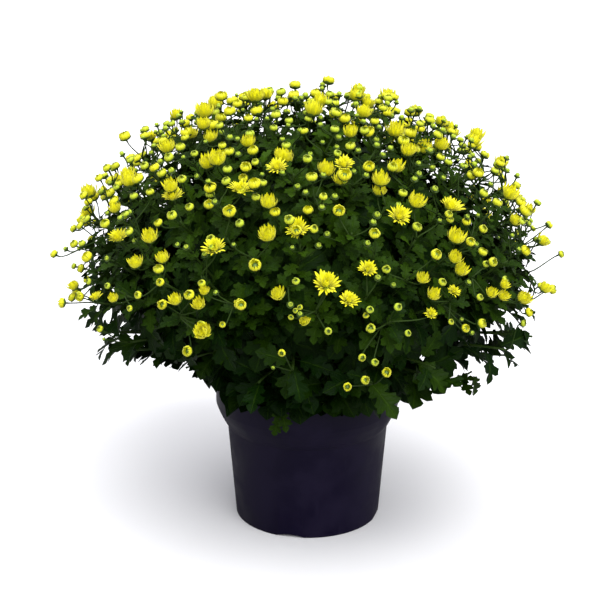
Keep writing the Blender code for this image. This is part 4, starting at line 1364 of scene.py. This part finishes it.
class CHRYSANTHEMUM_OT_flower_sprays(bpy.types.Operator):
    """Makes the flower heads and their stalks"""

    bl_idname = "chrysanthemum.flower_sprays"
    bl_label = "Flower sprays"

    def execute(self, context):
        settings = context.scene.chrysanthemum_flowers
        seed = context.scene.chrysanthemum_studio.seed
        stems, sprays = stem_layout(), spray_layout()
        rng = np.random.default_rng(seed)
        paths = [layout(stems, rng)["path"] for layout in (shoot_layout, low_shoot_layout)]
        leads = [unit(np.gradient(path, axis=1)) for path in paths]
        ways = [np.concatenate([g[:, 5:].reshape(-1, 3) for g in grids]) for grids in (paths, leads)]
        rng = np.random.default_rng(seed + 1)
        finishes = [
            petal_finish(settings),
            green_cup_finish(settings),
            stalk_finish(context.scene.chrysanthemum_foliage),
        ]
        for k in range(SPRAYS):
            heads = self.heads_of(sprays, k, settings.scale, rng)
            parts = [self.stalks(*ways, heads)]
            for kind in (TINY, BUD, CUP, BLOOM):
                chosen = heads["kind"] == kind
                if chosen.any():
                    parts += self.head_skins({key: value[chosen] for key, value in heads.items()}, kind)
            node = f"spray_{k + 1:02d}"
            make_piece(f"{node}_heads", parts, finishes, [node])
        return {"FINISHED"}

    def heads_of(self, sprays, k, scale, rng):
        """The heads of one spray, with their feet, sides, spins, tones and draws."""
        own = sprays["owner"] == k
        place, axis, kind = (sprays[key][own] for key in ("place", "axis", "kind"))
        chance = rng.random(len(kind))
        growth_share = np.where(kind <= BUD, 0.84 + 0.40 * chance, 1)
        radius = sprays["radius"][own] * scale * np.array(HEAD_SHARES)[kind] * growth_share
        low, extent = np.array(HEAD_TONES)[kind].T
        tone = low + extent * chance
        return {
            "kind": kind,
            "foot": place - axis * radius[:, None] * 0.6,
            "axis": axis,
            "radius": radius,
            "side": side_of(axis),
            "spin": ANY_TURN * rng.random(len(kind)),
            "tone": tone,
            "ragged": np.array(RAGGED)[kind],
            "opening": np.where(kind == BUD, 45 * np.clip(tone - 0.3, 0, 1), 0),
            "draw": rng.random((len(kind), 20, 4)),
        }

    def head_skins(self, heads, kind):
        """The petals, the middle and the green cup of like heads."""
        tone = heads["tone"]
        made = [skin(petal_grids(heads, row), 0, np.repeat(tone, row[0])) for row in PETAL_ROWS[kind]]
        inside = 1 if kind == BUD else 0
        made.append(skin(middle_grids(heads, MIDDLES[kind]), inside, tone * 0.85, True, (False, True)))
        made.append(skin(green_cup_grids(heads, CUP_RINGS[kind]), 1, tone, True, (True, False)))
        return made

    def stalks(self, starts, leads, heads):
        """A thin stalk to each head, from the point of a shoot below it about a stalk's length away.

        The stalk follows a cubic curve that leaves along the shoot and meets the head along its axis.
        """
        axis = heads["axis"]
        foot = heads["foot"] - axis * heads["radius"][:, None] * 0.06
        apart = foot[:, None, :] - starts
        length = np.linalg.norm(apart, axis=-1)
        above = dot(unit(apart), axis[:, None, :])[..., 0]
        nearest = np.argmin(np.abs(length - STALK_LENGTH) - 0.014 * above, axis=1)
        start, lead = starts[nearest], leads[nearest]
        path = growth(start, 0.35 * lead, foot, 0.4 * axis, 7, STALK_LENGTH)
        radii = np.linspace(*STALK_RADII, 7) * np.ones((len(foot), 1))
        radii[:, -1] = np.maximum(0.0010, heads["radius"] * 0.14)
        return tube_skin(path, radii, 5, 2, 0.9)


class CHRYSANTHEMUM_PT_panel(bpy.types.Panel):
    """Lists the pieces and their settings"""

    bl_idname = "CHRYSANTHEMUM_PT_panel"
    bl_label = "Pot Chrysanthemum"
    bl_space_type = "VIEW_3D"
    bl_region_type = "UI"
    bl_category = "Chrysanthemum"

    def draw(self, context):
        groups = {
            "pot": ("pot", "potting_mix"),
            "foliage": ("leafy_stems",),
            "flowers": ("flower_sprays",),
            "studio": ("studio",),
        }
        for group, operators in groups.items():
            box = self.layout.box()
            settings = getattr(context.scene, f"chrysanthemum_{group}")
            for name in settings.__annotations__:
                box.prop(settings, name)
            for operator in operators:
                box.operator(f"chrysanthemum.{operator}")


SETTINGS = {
    "pot": PotSettings,
    "foliage": FoliageSettings,
    "flowers": FlowerSettings,
    "studio": StudioSettings,
}
CLASSES = (
    *SETTINGS.values(),
    CHRYSANTHEMUM_OT_studio,
    CHRYSANTHEMUM_OT_pot,
    CHRYSANTHEMUM_OT_potting_mix,
    CHRYSANTHEMUM_OT_leafy_stems,
    CHRYSANTHEMUM_OT_flower_sprays,
    CHRYSANTHEMUM_PT_panel,
)


def register():
    for made in CLASSES:
        bpy.utils.register_class(made)
    for name, made in SETTINGS.items():
        setattr(bpy.types.Scene, f"chrysanthemum_{name}", PointerProperty(type=made))


def unregister():
    for name in SETTINGS:
        delattr(bpy.types.Scene, f"chrysanthemum_{name}")
    for made in reversed(CLASSES):
        bpy.utils.unregister_class(made)


def main():
    register()
    bpy.ops.chrysanthemum.studio()
    bpy.ops.chrysanthemum.pot()
    bpy.ops.chrysanthemum.potting_mix()
    bpy.ops.chrysanthemum.leafy_stems()
    bpy.ops.chrysanthemum.flower_sprays()


if __name__ == "__main__":
    main()
